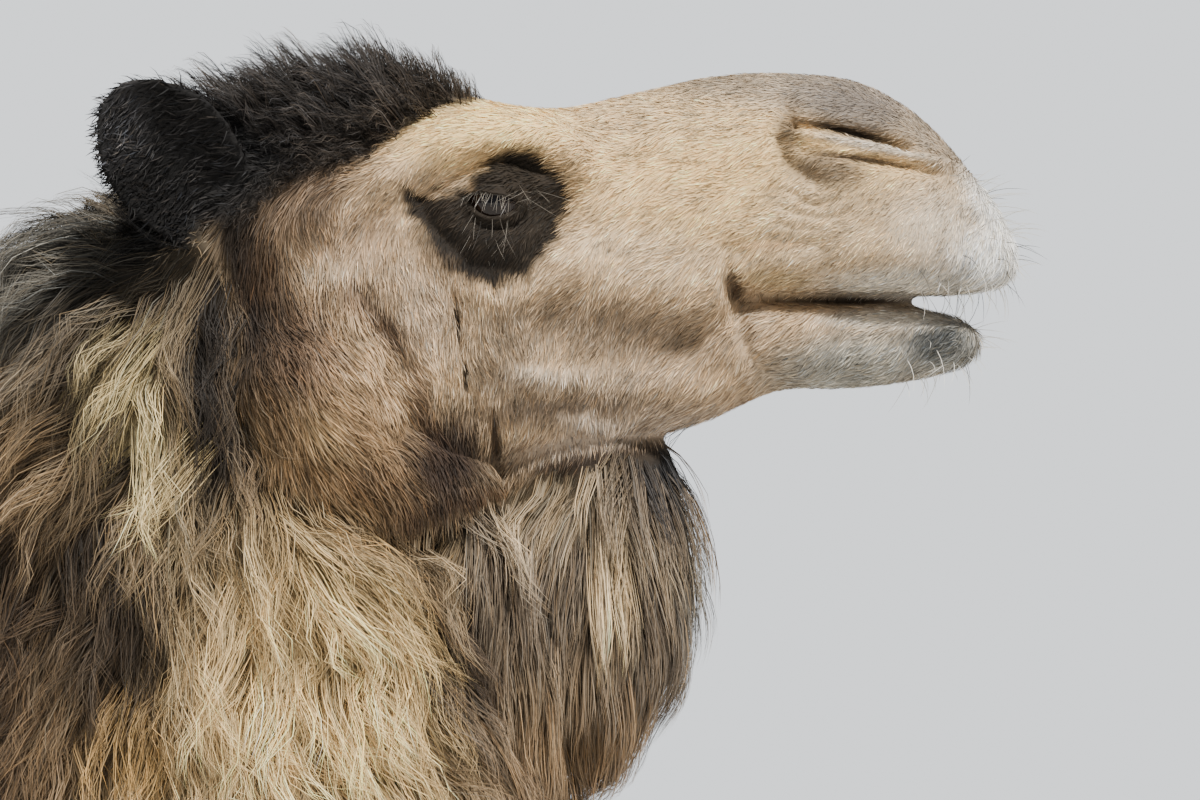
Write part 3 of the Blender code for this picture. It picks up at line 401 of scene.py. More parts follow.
def line_distance(x: Array, z: Array, line: Sequence[tuple]) -> Array:
    """Measures how far each point lies from a line through several points.

    Args:
        x: How far forward each point is.
        z: How high each point is.
        line: The points of x and z that the line joins.

    Returns:
        The distance of each point.
    """
    nearest = np.full(x.shape, 9.0)
    for (ax, az), (bx, bz) in zip(line, line[1:]):
        length = (bx - ax) ** 2 + (bz - az) ** 2
        share = np.clip(((x - ax) * (bx - ax) + (z - az) * (bz - az)) / length, 0.0, 1.0)
        away = np.hypot(x - ax - share * (bx - ax), z - az - share * (bz - az))
        nearest = np.minimum(nearest, away)
    return nearest


def points_of(mesh: bpy.types.Mesh) -> Array:
    """Reads the place of every vertex."""
    flat = np.empty(len(mesh.vertices) * 3)
    mesh.vertices.foreach_get("co", flat)
    return flat.reshape(-1, 3)


def normals_of(mesh: bpy.types.Mesh) -> Array:
    """Reads the direction that the surface faces at every vertex."""
    flat = np.empty(len(mesh.vertices) * 3)
    mesh.vertex_normals.foreach_get("vector", flat)
    return flat.reshape(-1, 3)


def move_points(mesh: bpy.types.Mesh, points: Array) -> None:
    """Puts every vertex at its new place."""
    mesh.vertices.foreach_set("co", points.ravel())
    mesh.update()


TO_WORLD = Matrix.Translation((-MIDDLE, 0.0, 0.0))
HEAD_PLACE = TO_WORLD @ Matrix.Translation(POLL)


@dataclass
class Loft:
    """Closed body lengths, gathered in one bmesh before they are fused."""

    segments: int = 28
    steps: int = 5

    def __post_init__(self) -> None:
        """Starts with an empty shape."""
        self.shape = bmesh.new()

    def close(self, loops: Sequence[Sequence[Vector]]) -> None:
        """Joins loops of points into one closed surface with flat ends.

        Args:
            loops: The loops, all with the same number of points.
        """
        rings = [[self.shape.verts.new(point) for point in loop] for loop in loops]
        count = len(rings[0])
        faces = [self.shape.faces.new(rings[0][::-1]), self.shape.faces.new(rings[-1])]
        for first, second in zip(rings, rings[1:]):
            for k in range(count):
                n = (k + 1) % count
                faces.append(self.shape.faces.new((first[k], first[n], second[n], second[k])))
        bmesh.ops.recalc_face_normals(self.shape, faces=faces)

    def length(self, rings: Sequence[Ring], place: Matrix, upright: bool = False) -> None:
        """Adds a body length through the rings.

        Args:
            rings: The sections, from one end to the other.
            place: Where their zero stands.
            upright: True if every section stands upright, as those of the head do.
        """
        rows = ladder(rings, self.steps)
        path = rows[:, [0, 2]]
        angle = 2 * math.pi * (np.arange(self.segments) + 0.5) / self.segments
        rise, reach = np.cos(angle), np.sin(angle)
        loops = []
        for k, (x, y, z, dorsal, ventral, side, full_up, full_down) in enumerate(rows):
            ahead = path[min(k + 1, len(path) - 1)] - path[max(k - 1, 0)]
            along = np.array((1.0, 0.0)) if upright else ahead / np.hypot(*ahead)
            full = np.where(rise > 0, full_up, full_down)
            height = np.sign(rise) * np.abs(rise) ** (2 / full) * np.where(rise > 0, dorsal, ventral)
            across = np.sign(reach) * np.abs(reach) ** (2 / full) * side
            points = np.stack((x - along[1] * height, y + across, z + along[0] * height), axis=1)
            loops.append([place @ Vector(point) for point in points])
        self.close(loops)

    def ball(self, middle: Sequence[float], half: Sequence[float], place: Matrix) -> None:
        """Adds a ball with its own half size along each axis."""
        shape = place @ Matrix.Translation(middle) @ Matrix.Diagonal((*half, 1.0))
        bmesh.ops.create_uvsphere(
            self.shape, u_segments=24, v_segments=14, radius=1.0, matrix=shape
        )

    def ear(self, side: int) -> None:
        """Adds a cupped leaf-shaped ear, a little thinner than the one of the solids.

        Args:
            side: 1 for the left ear, -1 for the right one.
        """
        root, axis, mouth, width = ear_frame(side)
        loops = []
        for u in np.linspace(-0.20, 0.985, 22):
            grown = max(u, 0.0)
            bulge = (0.60 + 1.40 * grown - 1.05 * grown**2) * (1 - grown**4) ** 0.5
            half = EAR_WIDTH * max(bulge, 0.3) - 0.002
            cup = 0.60 * half * (1.0 - 0.40 * grown)
            wall = 0.0056 - 0.0020 * grown
            middle = root + axis * (EAR_LENGTH * u)
            bow = [
                middle + width * (half * v) + mouth * (cup * (v * v - 0.45))
                for v in np.linspace(-1.0, 1.0, 13)
            ]
            loop = [point - mouth * wall for point in bow]
            loop += [point + mouth * wall for point in bow[::-1]]
            loops.append([HEAD_PLACE @ point for point in loop])
        self.close(loops)

    def fused(self, voxel: float, smoothing: int) -> bpy.types.Mesh:
        """Fuses all that was added into one closed skin.

        Args:
            voxel: How fine the skin is.
            smoothing: How often it is smoothed.

        Returns:
            The fused mesh.
        """
        mesh = bpy.data.meshes.new("fused")
        self.shape.to_mesh(mesh)
        self.shape.free()
        obj = bpy.data.objects.new("fused", mesh)
        bpy.context.scene.collection.objects.link(obj)
        remesh = obj.modifiers.new("fuse", "REMESH")
        remesh.mode = "VOXEL"
        remesh.voxel_size = voxel
        smooth = obj.modifiers.new("smooth", "SMOOTH")
        smooth.iterations = smoothing
        graph = bpy.context.evaluated_depsgraph_get()
        result = bpy.data.meshes.new_from_object(obj.evaluated_get(graph))
        bpy.data.objects.remove(obj)
        return result


def ear_frame(side: int) -> tuple[Vector, Vector, Vector, Vector]:
    """Places an ear.

    Args:
        side: 1 for the left ear, -1 for the right one.

    Returns:
        Its root, and the directions along it, out of its open side and across it.
    """
    axis = mirrored(EAR_AXIS, side).normalized()
    mouth = mirrored(EAR_MOUTH, side)
    mouth = (mouth - axis * mouth.dot(axis)).normalized()
    return mirrored(EAR_ROOT, side), axis, mouth, axis.cross(mouth)


def foot_place(front: bool, name: str, side: int) -> Matrix:
    """Places a foot, with its size.

    Args:
        front: True for a forefoot.
        name: left or right.
        side: 1 for left, -1 for right.

    Returns:
        The matrix from the foot's own sizes to the frame.
    """
    foot_x, strides = (FRONT_FOOT_X, FRONT_STRIDE) if front else (HIND_FOOT_X, HIND_STRIDE)
    lateral = (FORELEG if front else HINDLEG)[-1].y
    size = 1.0 if front else HIND_FOOT_SIZE
    middle = Vector((foot_x + strides[name], side * lateral, 0.0))
    return TO_WORLD @ Matrix.Translation(middle) @ Matrix.Diagonal((size, size, 1.0, 1.0))


def each_leg() -> Iterator[tuple[bool, str, int]]:
    """Goes through the four legs."""
    for name, side in SIDES:
        for front in (True, False):
            yield front, name, side


# ---- Skin ------------------------------------------------------------------------------------


@dataclass(frozen=True)
class Eyelids:
    """The opening between the lids of an eye, which droop as they do in strong sun."""

    half_width: float = 0.0172
    rise: float = 0.0040  # of the upper lid's edge, from the middle of the eye
    fall: float = 0.0090  # of the lower lid's edge
    tilt: float = -0.16  # the front corner lies lower
    thickness: float = 0.0021
    reach: float = 0.052
    blend: float = 0.0034  # how softly the lids run out into the cheek

    def basis(self, side: int) -> tuple[Array, Array]:
        """Places the eye.

        Args:
            side: 1 for the left eye, -1 for the right one.

        Returns:
            The middle of the eyeball, and rows for its forward, upward and outward directions.
        """
        middle = np.array(HEAD_PLACE @ mirrored(EYE_AT, side))
        out = unit(np.array((-0.14, side * 0.95, -0.03)))
        ahead = unit(np.array((1.0, 0.0, 0.0)) - out * out[0])
        up = np.cross(out, ahead) * -side
        lean, turn = math.cos(self.tilt), math.sin(self.tilt)
        return middle, np.array((ahead * lean + up * turn, up * lean - ahead * turn, out))

    def openness(self, across: Array, height: Array) -> Array:
        """Tells how near the edge of the opening each point is: 1 on it, and less inside it."""
        bend = height + 0.0016 - 0.10 * np.abs(across)
        half = np.where(bend > 0, self.rise + 0.0016, self.fall)
        return np.hypot(across / self.half_width, bend / half)

    def shape(self, points: Array, side: int) -> Array:
        """Wraps the skin over the eyeball, and takes it behind the ball inside the opening.

        Args:
            points: The places of the skin's points.
            side: 1 for the left eye, -1 for the right one.

        Returns:
            The new places.
        """
        middle, basis = self.basis(side)
        away = points - middle
        radius = np.linalg.norm(away, axis=1)
        local = (away / np.maximum(radius, 1e-9)[:, None]) @ basis.T
        lid = EYE_RADIUS + self.thickness
        near = (radius < self.reach) & (local[:, 2] > 0.05)
        opening = self.openness(local[:, 0] * lid, local[:, 1] * lid)
        shell = lid + 0.0008 * np.exp(-(((opening - 1.16) / 0.16) ** 2))
        fold = np.exp(-((line_distance(local[:, 0] * lid, local[:, 1] * lid, (
            (-0.017, 0.005), (-0.008, 0.0115), (0.004, 0.0125), (0.016, 0.004))) / 0.0016) ** 2))
        shell = shell - 0.0016 * fold
        over = np.logaddexp(radius / self.blend, shell / self.blend) * self.blend
        inside = 1.0 - soft(0.90, 1.10, opening)
        wanted = over * (1.0 - inside) + (EYE_RADIUS - 0.0035) * inside
        change = np.where(near, wanted / np.maximum(radius, 1e-9), 1.0)
        return middle + away * change[:, None]


@dataclass
class Skin:
    """The one skin of the whole camel."""

    head_voxel: float = 0.0034
    body_voxel: float = 0.0165
    join: tuple = (0.804, 0.0, 1.535)  # a point of the plane that the neck is joined on
    join_facing: tuple = (0.447, 0.0, 0.894)
    gap: float = 0.006
    lids: Eyelids = Eyelids()

    def head(self) -> bpy.types.Mesh:
        """Makes the head with the upper neck, carved with its folds.

        Returns:
            The mesh of the head.
        """
        loft = Loft()
        loft.length(SKULL, HEAD_PLACE, upright=True)
        loft.length(JAW, HEAD_PLACE, upright=True)
        loft.length(NECK[NECK_TOP:], TO_WORLD)
        loft.length(BEARD, HEAD_PLACE)
        for _, side in SIDES:
            loft.ear(side)
            loft.ball(mirrored(GLAND_AT, side), GLAND_HALF, HEAD_PLACE)
        mesh = loft.fused(self.head_voxel, 4)
        self.ease(mesh, (0.055, -0.060), (0.085, 0.075), 60)
        for _, side in SIDES:
            self.raise_relief(mesh, HEAD_RELIEF, HEAD_PLACE, side)
        self.raise_relief(mesh, (LIP_CLEFT,), HEAD_PLACE, 1)
        self.refine(mesh, self.near_details(0.036, 2.2, 0.0080))
        self.refine(mesh, self.near_details(0.030, 1.6, 0.0044))
        self.refine(mesh, self.near_details(0.022, 0.0, 0.0))
        self.crease(mesh)
        points = points_of(mesh)
        for _, side in SIDES:
            points = self.lids.shape(points, side)
        move_points(mesh, points)
        return mesh

    def body(self) -> bpy.types.Mesh:
        """Makes the trunk, neck, humps, tail and legs.

        Returns:
            The mesh of the body.
        """
        loft = Loft()
        for rings in (TRUNK, NECK, FRONT_HUMP, REAR_HUMP, TAIL):
            loft.length(rings, TO_WORLD)
        loft.ball(CHEST_PAD_AT, [half - 0.003 for half in CHEST_PAD_HALF], TO_WORLD)
        for front, name, side in each_leg():
            rings = FORELEG if front else HINDLEG
            foot_x, strides = (FRONT_FOOT_X, FRONT_STRIDE) if front else (HIND_FOOT_X, HIND_STRIDE)
            moved = [
                ring._replace(
                    x=foot_x + ring.x + strides[name] * (1.0 - ring.z / rings[0].z),
                    y=side * ring.y,
                )
                for ring in rings
            ]
            loft.length(moved, TO_WORLD)
            loft.length(FOOT, foot_place(front, name, side))
        mesh = loft.fused(self.body_voxel, 5)
        self.refine(mesh, lambda points: points[:, 2] < 0.120)
        for leg in each_leg():
            self.raise_relief(mesh, (TOE_CLEFT,), foot_place(*leg), 1)
            for toe_side in (1, -1):
                self.raise_relief(mesh, (TOE_TOP,), foot_place(*leg), toe_side)
        points = points_of(mesh)
        points[:, 2] = np.maximum(points[:, 2], 0.0006)
        move_points(mesh, points)
        return mesh

    @staticmethod
    def ease(mesh: bpy.types.Mesh, middle: tuple, half: tuple, rounds: int) -> None:
        """Smooths the skin round one place of both cheeks, where two forms meet.

        Args:
            mesh: The skin.
            middle: The place's middle from the poll, seen from the side.
            half: Half its size.
            rounds: How many times it is smoothed.
        """
        shape = bmesh.new()
        shape.from_mesh(mesh)
        points = points_of(mesh) - HEAD_AT
        away = np.hypot((points[:, 0] - middle[0]) / half[0], (points[:, 2] - middle[1]) / half[1])
        chosen = (away < 1.0) & (np.abs(points[:, 1]) > 0.02)
        shape.verts.ensure_lookup_table()
        verts = [shape.verts[index] for index in np.flatnonzero(chosen)]
        for _ in range(rounds):
            bmesh.ops.smooth_vert(
                shape, verts=verts, factor=0.5, use_axis_x=True, use_axis_y=True, use_axis_z=True
            )
        shape.to_mesh(mesh)
        shape.free()

    @staticmethod
    def raise_relief(
        mesh: bpy.types.Mesh, reliefs: Sequence[Relief], place: Matrix, side: int
    ) -> None:
        """Moves the skin in and out along its own normals, round each relief's middle.

        Args:
            mesh: The skin.
            reliefs: The rises and hollows.
            place: Where their zero stands.
            side: 1 for the left side, -1 for the right one.
        """
        points, normals = points_of(mesh), normals_of(mesh)
        moved = points.copy()
        for middle, half, rise in reliefs:
            at = np.array(place @ mirrored(middle, side))
            away = (((points - at) / np.array(half)) ** 2).sum(axis=1)
            moved += normals * (rise * np.clip(1.0 - away, 0.0, None) ** 2)[:, None]
        move_points(mesh, moved)

    @staticmethod
    def near_details(eye: float, share: float, widest: float) -> Callable[[Array], Array]:
        """Chooses the skin round the finest details of the head.

        Args:
            eye: How far round each eye.
            share: How far from a crease, as a share of its width.
            widest: Creases wider than this are left out.

        Returns:
            A test of points in the frame.
        """

        def chosen(points: Array) -> Array:
            local = points - HEAD_AT
            apart = np.abs(local[:, 1]) - EYE_AT.y
            near = np.hypot(np.hypot(local[:, 0] - EYE_AT.x, apart), local[:, 2] - EYE_AT.z) < eye
            for line, width, _ in CREASES:
                if width <= widest:
                    near |= line_distance(local[:, 0], local[:, 2], line) < share * width
            return near

        return chosen

    @staticmethod
    def refine(mesh: bpy.types.Mesh, chosen: Callable[[Array], Array]) -> None:
        """Halves the chosen faces.

        Args:
            mesh: The skin.
            chosen: A test of points in the frame.
        """
        shape = bmesh.new()
        shape.from_mesh(mesh)
        wanted = chosen(np.array([vertex.co for vertex in shape.verts]))
        shape.verts.ensure_lookup_table()
        edges = [
            edge for edge in shape.edges if wanted[edge.verts[0].index] and wanted[edge.verts[1].index]
        ]
        bmesh.ops.subdivide_edges(shape, edges=edges, cuts=1, use_grid_fill=True)
        wide = [face for face in shape.faces if len(face.verts) > 4]
        bmesh.ops.triangulate(shape, faces=wide)
        shape.to_mesh(mesh)
        shape.free()

    @staticmethod
    def crease(mesh: bpy.types.Mesh) -> None:
        """Carves the creases of the face, deepest in their middle."""
        points, normals = points_of(mesh), normals_of(mesh)
        local = points - HEAD_AT
        depth = np.zeros(len(points))
        for line, width, rise in CREASES:
            away = line_distance(local[:, 0], local[:, 2], line)
            depth += rise * np.exp(-((away / width) ** 2))
        sideways = soft(0.12, 0.40, np.abs(normals[:, 1])) * (np.abs(local[:, 1]) > 0.012)
        move_points(mesh, points + normals * (depth * sideways)[:, None])

    def cut(self, mesh: bpy.types.Mesh, above: bool) -> bmesh.types.BMesh:
        """Cuts the neck off square, where head and body meet.

        Args:
            mesh: The head or the body.
            above: True to keep what lies above the cut.

        Returns:
            The rest of the mesh.
        """
        shape = bmesh.new()
        shape.from_mesh(mesh)
        faces = [face for face in shape.faces if above or face.calc_center_median().x > 0.45]
        edges = {edge for face in faces for edge in face.edges}
        verts = {vertex for face in faces for vertex in face.verts}
        facing = Vector(self.join_facing)
        offset = facing * (self.gap if above else -self.gap)
        bmesh.ops.bisect_plane(
            shape,
            geom=[*verts, *edges, *faces],
            dist=1e-6,
            plane_co=Vector(self.join) + offset,
            plane_no=facing,
            clear_inner=above,
            clear_outer=not above,
        )
        return shape

    def build(self) -> bpy.types.Object:
        """Makes the whole skin.

        Returns:
            The piece, not yet painted.
        """
        head, body = self.cut(self.head(), True), self.cut(self.body(), False)
        whole = bpy.data.meshes.new("skin")
        head.to_mesh(whole)
        head.free()
        body.from_mesh(whole)
        rims = [edge for edge in body.edges if edge.is_boundary]
        bmesh.ops.bridge_loops(body, edges=rims)
        bmesh.ops.triangulate(body, faces=[face for face in body.faces if len(face.verts) > 4])
        bmesh.ops.recalc_face_normals(body, faces=body.faces)
        body.to_mesh(whole)
        body.free()
        whole.shade_smooth()
        skin = bpy.data.objects.new("skin", whole)
        bpy.context.scene.collection.objects.link(skin)
        return skin


# ---- Markings and lie of the coat --------------------------------------------------------------


class Blot(NamedTuple):
    """A soft patch of one colour, in the frame or from the poll."""

    middle: tuple  # x and z
    half: tuple
    colour: tuple  # red, green and blue, each from 0 to 255
    strength: float
    lean: float = 0.0  # degrees that its length rises to the front


class Flow(NamedTuple):
    """The way that the hair lies round one place, seen from the side."""

    x: float
    z: float
    ahead: float
    up: float


BODY_BLOTS = (
    Blot((-0.15, 1.62), (0.90, 0.16), (104, 84, 62), 0.55),
    Blot((-0.14, 2.08), (0.22, 0.24), (66, 52, 40), 0.85),
    Blot((-0.81, 2.03), (0.22, 0.24), (66, 52, 40), 0.85),
    Blot((-0.30, 1.02), (0.60, 0.16), (120, 100, 78), 0.50),
    Blot((0.10, 0.78), (0.24, 0.22), (62, 49, 38), 0.80),
    Blot((0.10, 0.34), (0.26, 0.30), (128, 110, 88), 0.75),
    Blot((-1.06, 0.36), (0.30, 0.34), (128, 110, 88), 0.75),
    Blot((0.12, 0.05), (0.34, 0.09), (92, 78, 62), 0.60),
    Blot((-1.02, 0.05), (0.34, 0.09), (92, 78, 62), 0.60),
    Blot((-1.30, 1.00), (0.14, 0.30), (70, 56, 42), 0.80),
    Blot((0.62, 1.06), (0.30, 0.24), (80, 64, 48), 0.75),
    Blot((0.74, 1.22), (0.20, 0.20), (86, 70, 52), 0.60),
)

# From the poll.
HEAD_BLOTS = (
    Blot((0.20, -0.02), (0.42, 0.22), (206, 180, 148), 1.00),
    # pale upper side of the muzzle, partly painted light falling from above
    Blot((0.37, 0.06), (0.20, 0.10), (248, 214, 162), 0.92),
    Blot((0.30, 0.10), (0.16, 0.05), (214, 192, 160), 0.60),
    Blot((0.225, 0.098), (0.040, 0.012), (150, 132, 112), 0.55, 6.0),
    Blot((0.285, 0.080), (0.030, 0.010), (196, 172, 140), 0.50, 20.0),
    Blot((0.330, 0.030), (0.040, 0.012), (206, 178, 142), 0.50, -18.0),
    Blot((0.350, 0.105), (0.040, 0.012), (180, 162, 138), 0.50, 8.0),
    Blot((0.44, 0.105), (0.10, 0.035), (196, 180, 164), 0.85),
    Blot((0.43, 0.01), (0.10, 0.06), (204, 182, 152), 0.80),
    Blot((0.40, 0.035), (0.030, 0.020), (226, 200, 164), 0.60),
    # darker cheek under the muzzle's side, partly painted shade where the cheek turns down
    Blot((0.28, -0.055), (0.12, 0.034), (148, 130, 110), 0.90, -6.0),
    Blot((0.205, -0.070), (0.04, 0.050), (140, 124, 106), 0.75),
    Blot((0.26, -0.086), (0.09, 0.014), (178, 162, 144), 0.60),
    Blot((0.25, -0.104), (0.10, 0.017), (124, 110, 96), 0.85, 4.0),
    Blot((0.28, -0.124), (0.12, 0.022), (182, 166, 150), 0.80, 10.0),
    Blot((0.30, -0.006), (0.09, 0.030), (224, 200, 168), 0.70, -8.0),
    Blot((0.15, -0.04), (0.045, 0.060), (176, 156, 134), 0.80),
    Blot((0.105, 0.005), (0.056, 0.032), (176, 152, 128), 0.75, 12.0),
    Blot((0.10, -0.03), (0.050, 0.030), (134, 114, 96), 0.60, 20.0),
    Blot((0.10, -0.075), (0.075, 0.050), (178, 152, 122), 0.80, -30.0),
    Blot((0.10, -0.12), (0.11, 0.050), (138, 112, 84), 0.80, -25.0),
    Blot((0.060, -0.115), (0.045, 0.050), (150, 126, 96), 0.70, -30.0),
    # pale brow, partly painted highlight on its sunlit top
    Blot((0.192, 0.078), (0.086, 0.038), (255, 222, 166), 0.97, 4.0),
    # painted shadow under the overhang of the brow, partly orange-brown hair
    Blot((0.205, 0.060), (0.060, 0.010), (158, 130, 98), 0.60, -4.0),
    Blot((0.248, 0.045), (0.018, 0.028), (150, 124, 94), 0.55, 10.0),
    Blot((0.375, 0.116), (0.120, 0.032), (150, 138, 124), 0.72, -4.0),
    Blot((0.500, 0.010), (0.060, 0.050), (206, 194, 178), 0.70, -30.0),
    Blot((0.545, 0.022), (0.074, 0.030), (250, 249, 245), 0.97, -52.0),
    Blot((0.540, -0.010), (0.056, 0.040), (250, 248, 243), 0.95),
    Blot((0.475, -0.024), (0.090, 0.018), (206, 200, 188), 0.80),
    Blot((0.385, -0.020), (0.036, 0.010), (182, 160, 122), 0.60, -6.0),
    Blot((0.438, -0.078), (0.086, 0.036), (164, 161, 151), 0.94, 5.0),
    Blot((0.500, -0.064), (0.044, 0.034), (172, 171, 164), 0.92),
    Blot((0.492, -0.060), (0.032, 0.022), (64, 66, 66), 0.90, 10.0),
    Blot((0.46, -0.046), (0.070, 0.010), (216, 210, 198), 0.70),
    Blot((0.372, -0.050), (0.020, 0.030), (188, 166, 140), 0.60),
    # painted shade in the hollow at the corner of the mouth
    Blot((0.357, -0.024), (0.010, 0.019), (66, 50, 38), 0.85, 20.0),
    Blot((0.440, 0.090), (0.068, 0.032), (116, 108, 101), 0.90, -16.0),
    Blot((0.492, 0.070), (0.040, 0.026), (158, 146, 132), 0.80, -38.0),
    # painted shadow under the rim of the nostril
    Blot((0.416, 0.052), (0.044, 0.018), (100, 88, 76), 0.84, -8.0),
    Blot((0.392, 0.074), (0.014, 0.024), (80, 68, 58), 0.82),
    # the dark slit of the nostril, painted shade in its crease
    Blot((0.434, 0.0765), (0.052, 0.0046), (40, 34, 30), 0.94, -14.0),
    Blot((0.448, 0.0665), (0.058, 0.0050), (204, 193, 178), 0.86, -11.0),
    # painted shadow in the crease under the nostril's rolled rim
    Blot((0.442, 0.0580), (0.048, 0.0040), (84, 72, 62), 0.82, -8.0),
    Blot((0.382, 0.002), (0.034, 0.0055), (164, 132, 98), 0.60),
    # painted shade in the gap between the lips
    Blot((0.430, -0.0345), (0.080, 0.0042), (44, 34, 28), 0.90),
    Blot((0.228, -0.083), (0.036, 0.0060), (222, 206, 186), 0.75, -10.0),
    Blot((0.262, -0.115), (0.028, 0.0056), (212, 196, 178), 0.70, -7.0),
    Blot((0.075, -0.060), (0.034, 0.045), (116, 96, 82), 0.60, 10.0),
    Blot((0.096, -0.156), (0.070, 0.026), (98, 76, 52), 0.75, -24.0),
    Blot((0.092, -0.014), (0.050, 0.012), (208, 188, 162), 0.60, -6.0),
    Blot((0.072, -0.105), (0.050, 0.014), (170, 146, 112), 0.50, -48.0),
    Blot((0.172, -0.010), (0.052, 0.014), (126, 104, 82), 0.55, -20.0),
    Blot((0.128, -0.052), (0.013, 0.034), (78, 62, 50), 0.85, 32.0),
    Blot((0.108, -0.030), (0.012, 0.024), (110, 90, 74), 0.60, 30.0),
    Blot((0.164, -0.136), (0.050, 0.044), (46, 36, 31), 0.96, 25.0),
    Blot((0.150, -0.100), (0.014, 0.040), (96, 76, 62), 0.60, 12.0),
    Blot((0.1745, -0.048), (0.0024, 0.026), (22, 16, 14), 0.98, 7.0),
    Blot((0.1795, -0.082), (0.0022, 0.018), (26, 20, 16), 0.95, 3.0),
    Blot((0.199, -0.126), (0.0044, 0.026), (40, 30, 26), 0.85, 4.0),
    # painted shadow and dark hair along the lower edge of the cheek, over the neck
    Blot((0.165, -0.166), (0.080, 0.018), (44, 32, 24), 0.92, 12.0),
    Blot((0.172, -0.126), (0.030, 0.044), (48, 38, 31), 0.60, 10.0),
    Blot((0.118, -0.150), (0.050, 0.022), (74, 56, 40), 0.60, -24.0),
    # painted shadow and dark reddish hair along the lower edge of the jaw
    Blot((0.215, -0.158), (0.050, 0.007), (84, 60, 40), 0.70, 8.0),
    Blot((0.052, -0.04), (0.040, 0.120), (78, 62, 50), 0.85, 8.0),
    Blot((0.028, -0.01), (0.042, 0.130), (22, 18, 16), 0.96, 6.0),
    Blot((0.046, -0.012), (0.018, 0.024), (84, 66, 50), 0.60),
    Blot((0.080, 0.035), (0.056, 0.034), (92, 76, 64), 0.85, 30.0),
    Blot((0.110, 0.072), (0.040, 0.020), (112, 100, 92), 0.55, 32.0),
    Blot((0.060, 0.105), (0.165, 0.058), (48, 46, 46), 1.00, 10.0),
    Blot((0.045, 0.075), (0.075, 0.055), (42, 38, 36), 1.00),
)
EAR_GREY = Blot((-0.044, 0.078), (0.030, 0.044), (62, 61, 62), 0.80)
EYE_DARK_AND_SHADE = (  # the dark skin and hair round the eye, partly painted shade of the deep socket under the brow
    (0.136, 0.040), (0.160, 0.035), (0.182, 0.040), (0.195, 0.056), (0.208, 0.064),
    (0.231, 0.062), (0.243, 0.049), (0.249, 0.036), (0.249, 0.022), (0.240, 0.004),
    (0.221, -0.020), (0.200, -0.026), (0.181, -0.021), (0.161, -0.006), (0.146, 0.014),
)
CROWN_EDGE = ((-0.05, 0.004), (0.040, 0.020), (0.056, 0.034), (0.080, 0.048), (0.112, 0.056),
              (0.138, 0.074), (0.166, 0.092), (0.190, 0.100), (0.215, 0.125))

NECK_BLOTS = (
    Blot((0.86, 1.80), (0.34, 0.40), (150, 132, 106), 1.00),
    Blot((0.62, 1.60), (0.22, 0.44), (98, 80, 60), 0.85),
    Blot((0.70, 1.93), (0.18, 0.10), (88, 86, 80), 0.95, 25.0),
    Blot((0.74, 1.86), (0.06, 0.13), (62, 54, 44), 0.80),
    Blot((0.90, 1.66), (0.14, 0.17), (228, 198, 148), 0.92, -30.0),
    Blot((0.84, 1.53), (0.13, 0.11), (232, 204, 158), 0.86),
    Blot((0.768, 1.825), (0.034, 0.090), (214, 194, 148), 0.92, 20.0),
    Blot((0.755, 1.700), (0.070, 0.095), (46, 37, 28), 0.94, 10.0),
    Blot((0.770, 1.615), (0.050, 0.044), (158, 128, 84), 0.80),
    Blot((0.66, 1.68), (0.05, 0.14), (58, 48, 40), 0.80),
    # painted shadow that the beard casts on the neck, along its rear edge (this blot and the next)
    Blot((0.955, 1.745), (0.020, 0.060), (84, 66, 48), 0.80, 22.0),
    Blot((1.000, 1.640), (0.026, 0.090), (72, 58, 44), 0.88, 22.0),
    Blot((0.96, 1.44), (0.14, 0.16), (112, 92, 70), 0.75),
    Blot((0.822, 1.855), (0.038, 0.140), (22, 18, 16), 0.97, -4.0),
    Blot((0.850, 1.780), (0.040, 0.016), (96, 76, 56), 0.70, -30.0),
    Blot((0.930, 1.755), (0.060, 0.014), (112, 90, 66), 0.70, -12.0),
)
BEARD_BLOTS = (
    Blot((0.258, -0.24), (0.20, 0.20), (110, 98, 84), 1.00),
    Blot((0.228, -0.180), (0.056, 0.034), (206, 184, 152), 0.90, 4.0),
    Blot((0.278, -0.235), (0.024, 0.060), (214, 190, 154), 0.90),
    Blot((0.230, -0.300), (0.060, 0.040), (104, 88, 68), 0.60),
    Blot((0.318, -0.160), (0.040, 0.040), (44, 46, 50), 0.97, -60.0),
    Blot((0.338, -0.250), (0.024, 0.070), (92, 88, 80), 0.85),
    Blot((0.318, -0.215), (0.014, 0.060), (150, 136, 114), 0.60, 75.0),
    Blot((0.26, -0.335), (0.10, 0.028), (132, 108, 80), 0.70),
    # painted shadow on the neck along the rear edge of the beard
    Blot((0.176, -0.258), (0.016, 0.090), (50, 40, 32), 0.90, 16.0),
    Blot((0.205, -0.240), (0.016, 0.060), (112, 96, 78), 0.60, 12.0),
)
JAW_HAIR_AND_SHADOW = (  # dark hair and painted shadow under the edge of the jaw and the cheek
    Blot((0.258, -0.1395), (0.080, 0.0115), (44, 33, 26), 0.90, 11.5),
    Blot((0.178, -0.182), (0.052, 0.0115), (36, 27, 21), 0.90, 10.0),
    Blot((0.105, -0.180), (0.052, 0.0115), (46, 35, 26), 0.85, -20.0),
    Blot((0.050, -0.150), (0.038, 0.0115), (42, 32, 25), 0.80, -45.0),
)
RICHNESS = 1.12  # how much stronger the hues are than their given values


def linear(colour: Sequence[float]) -> Array:
    """Turns a colour of 0 to 255 into the linear values that shaders mix."""
    share = np.array(colour, float) / 255.0
    return np.where(share <= 0.04045, share / 12.92, ((share + 0.055) / 1.055) ** 2.4)


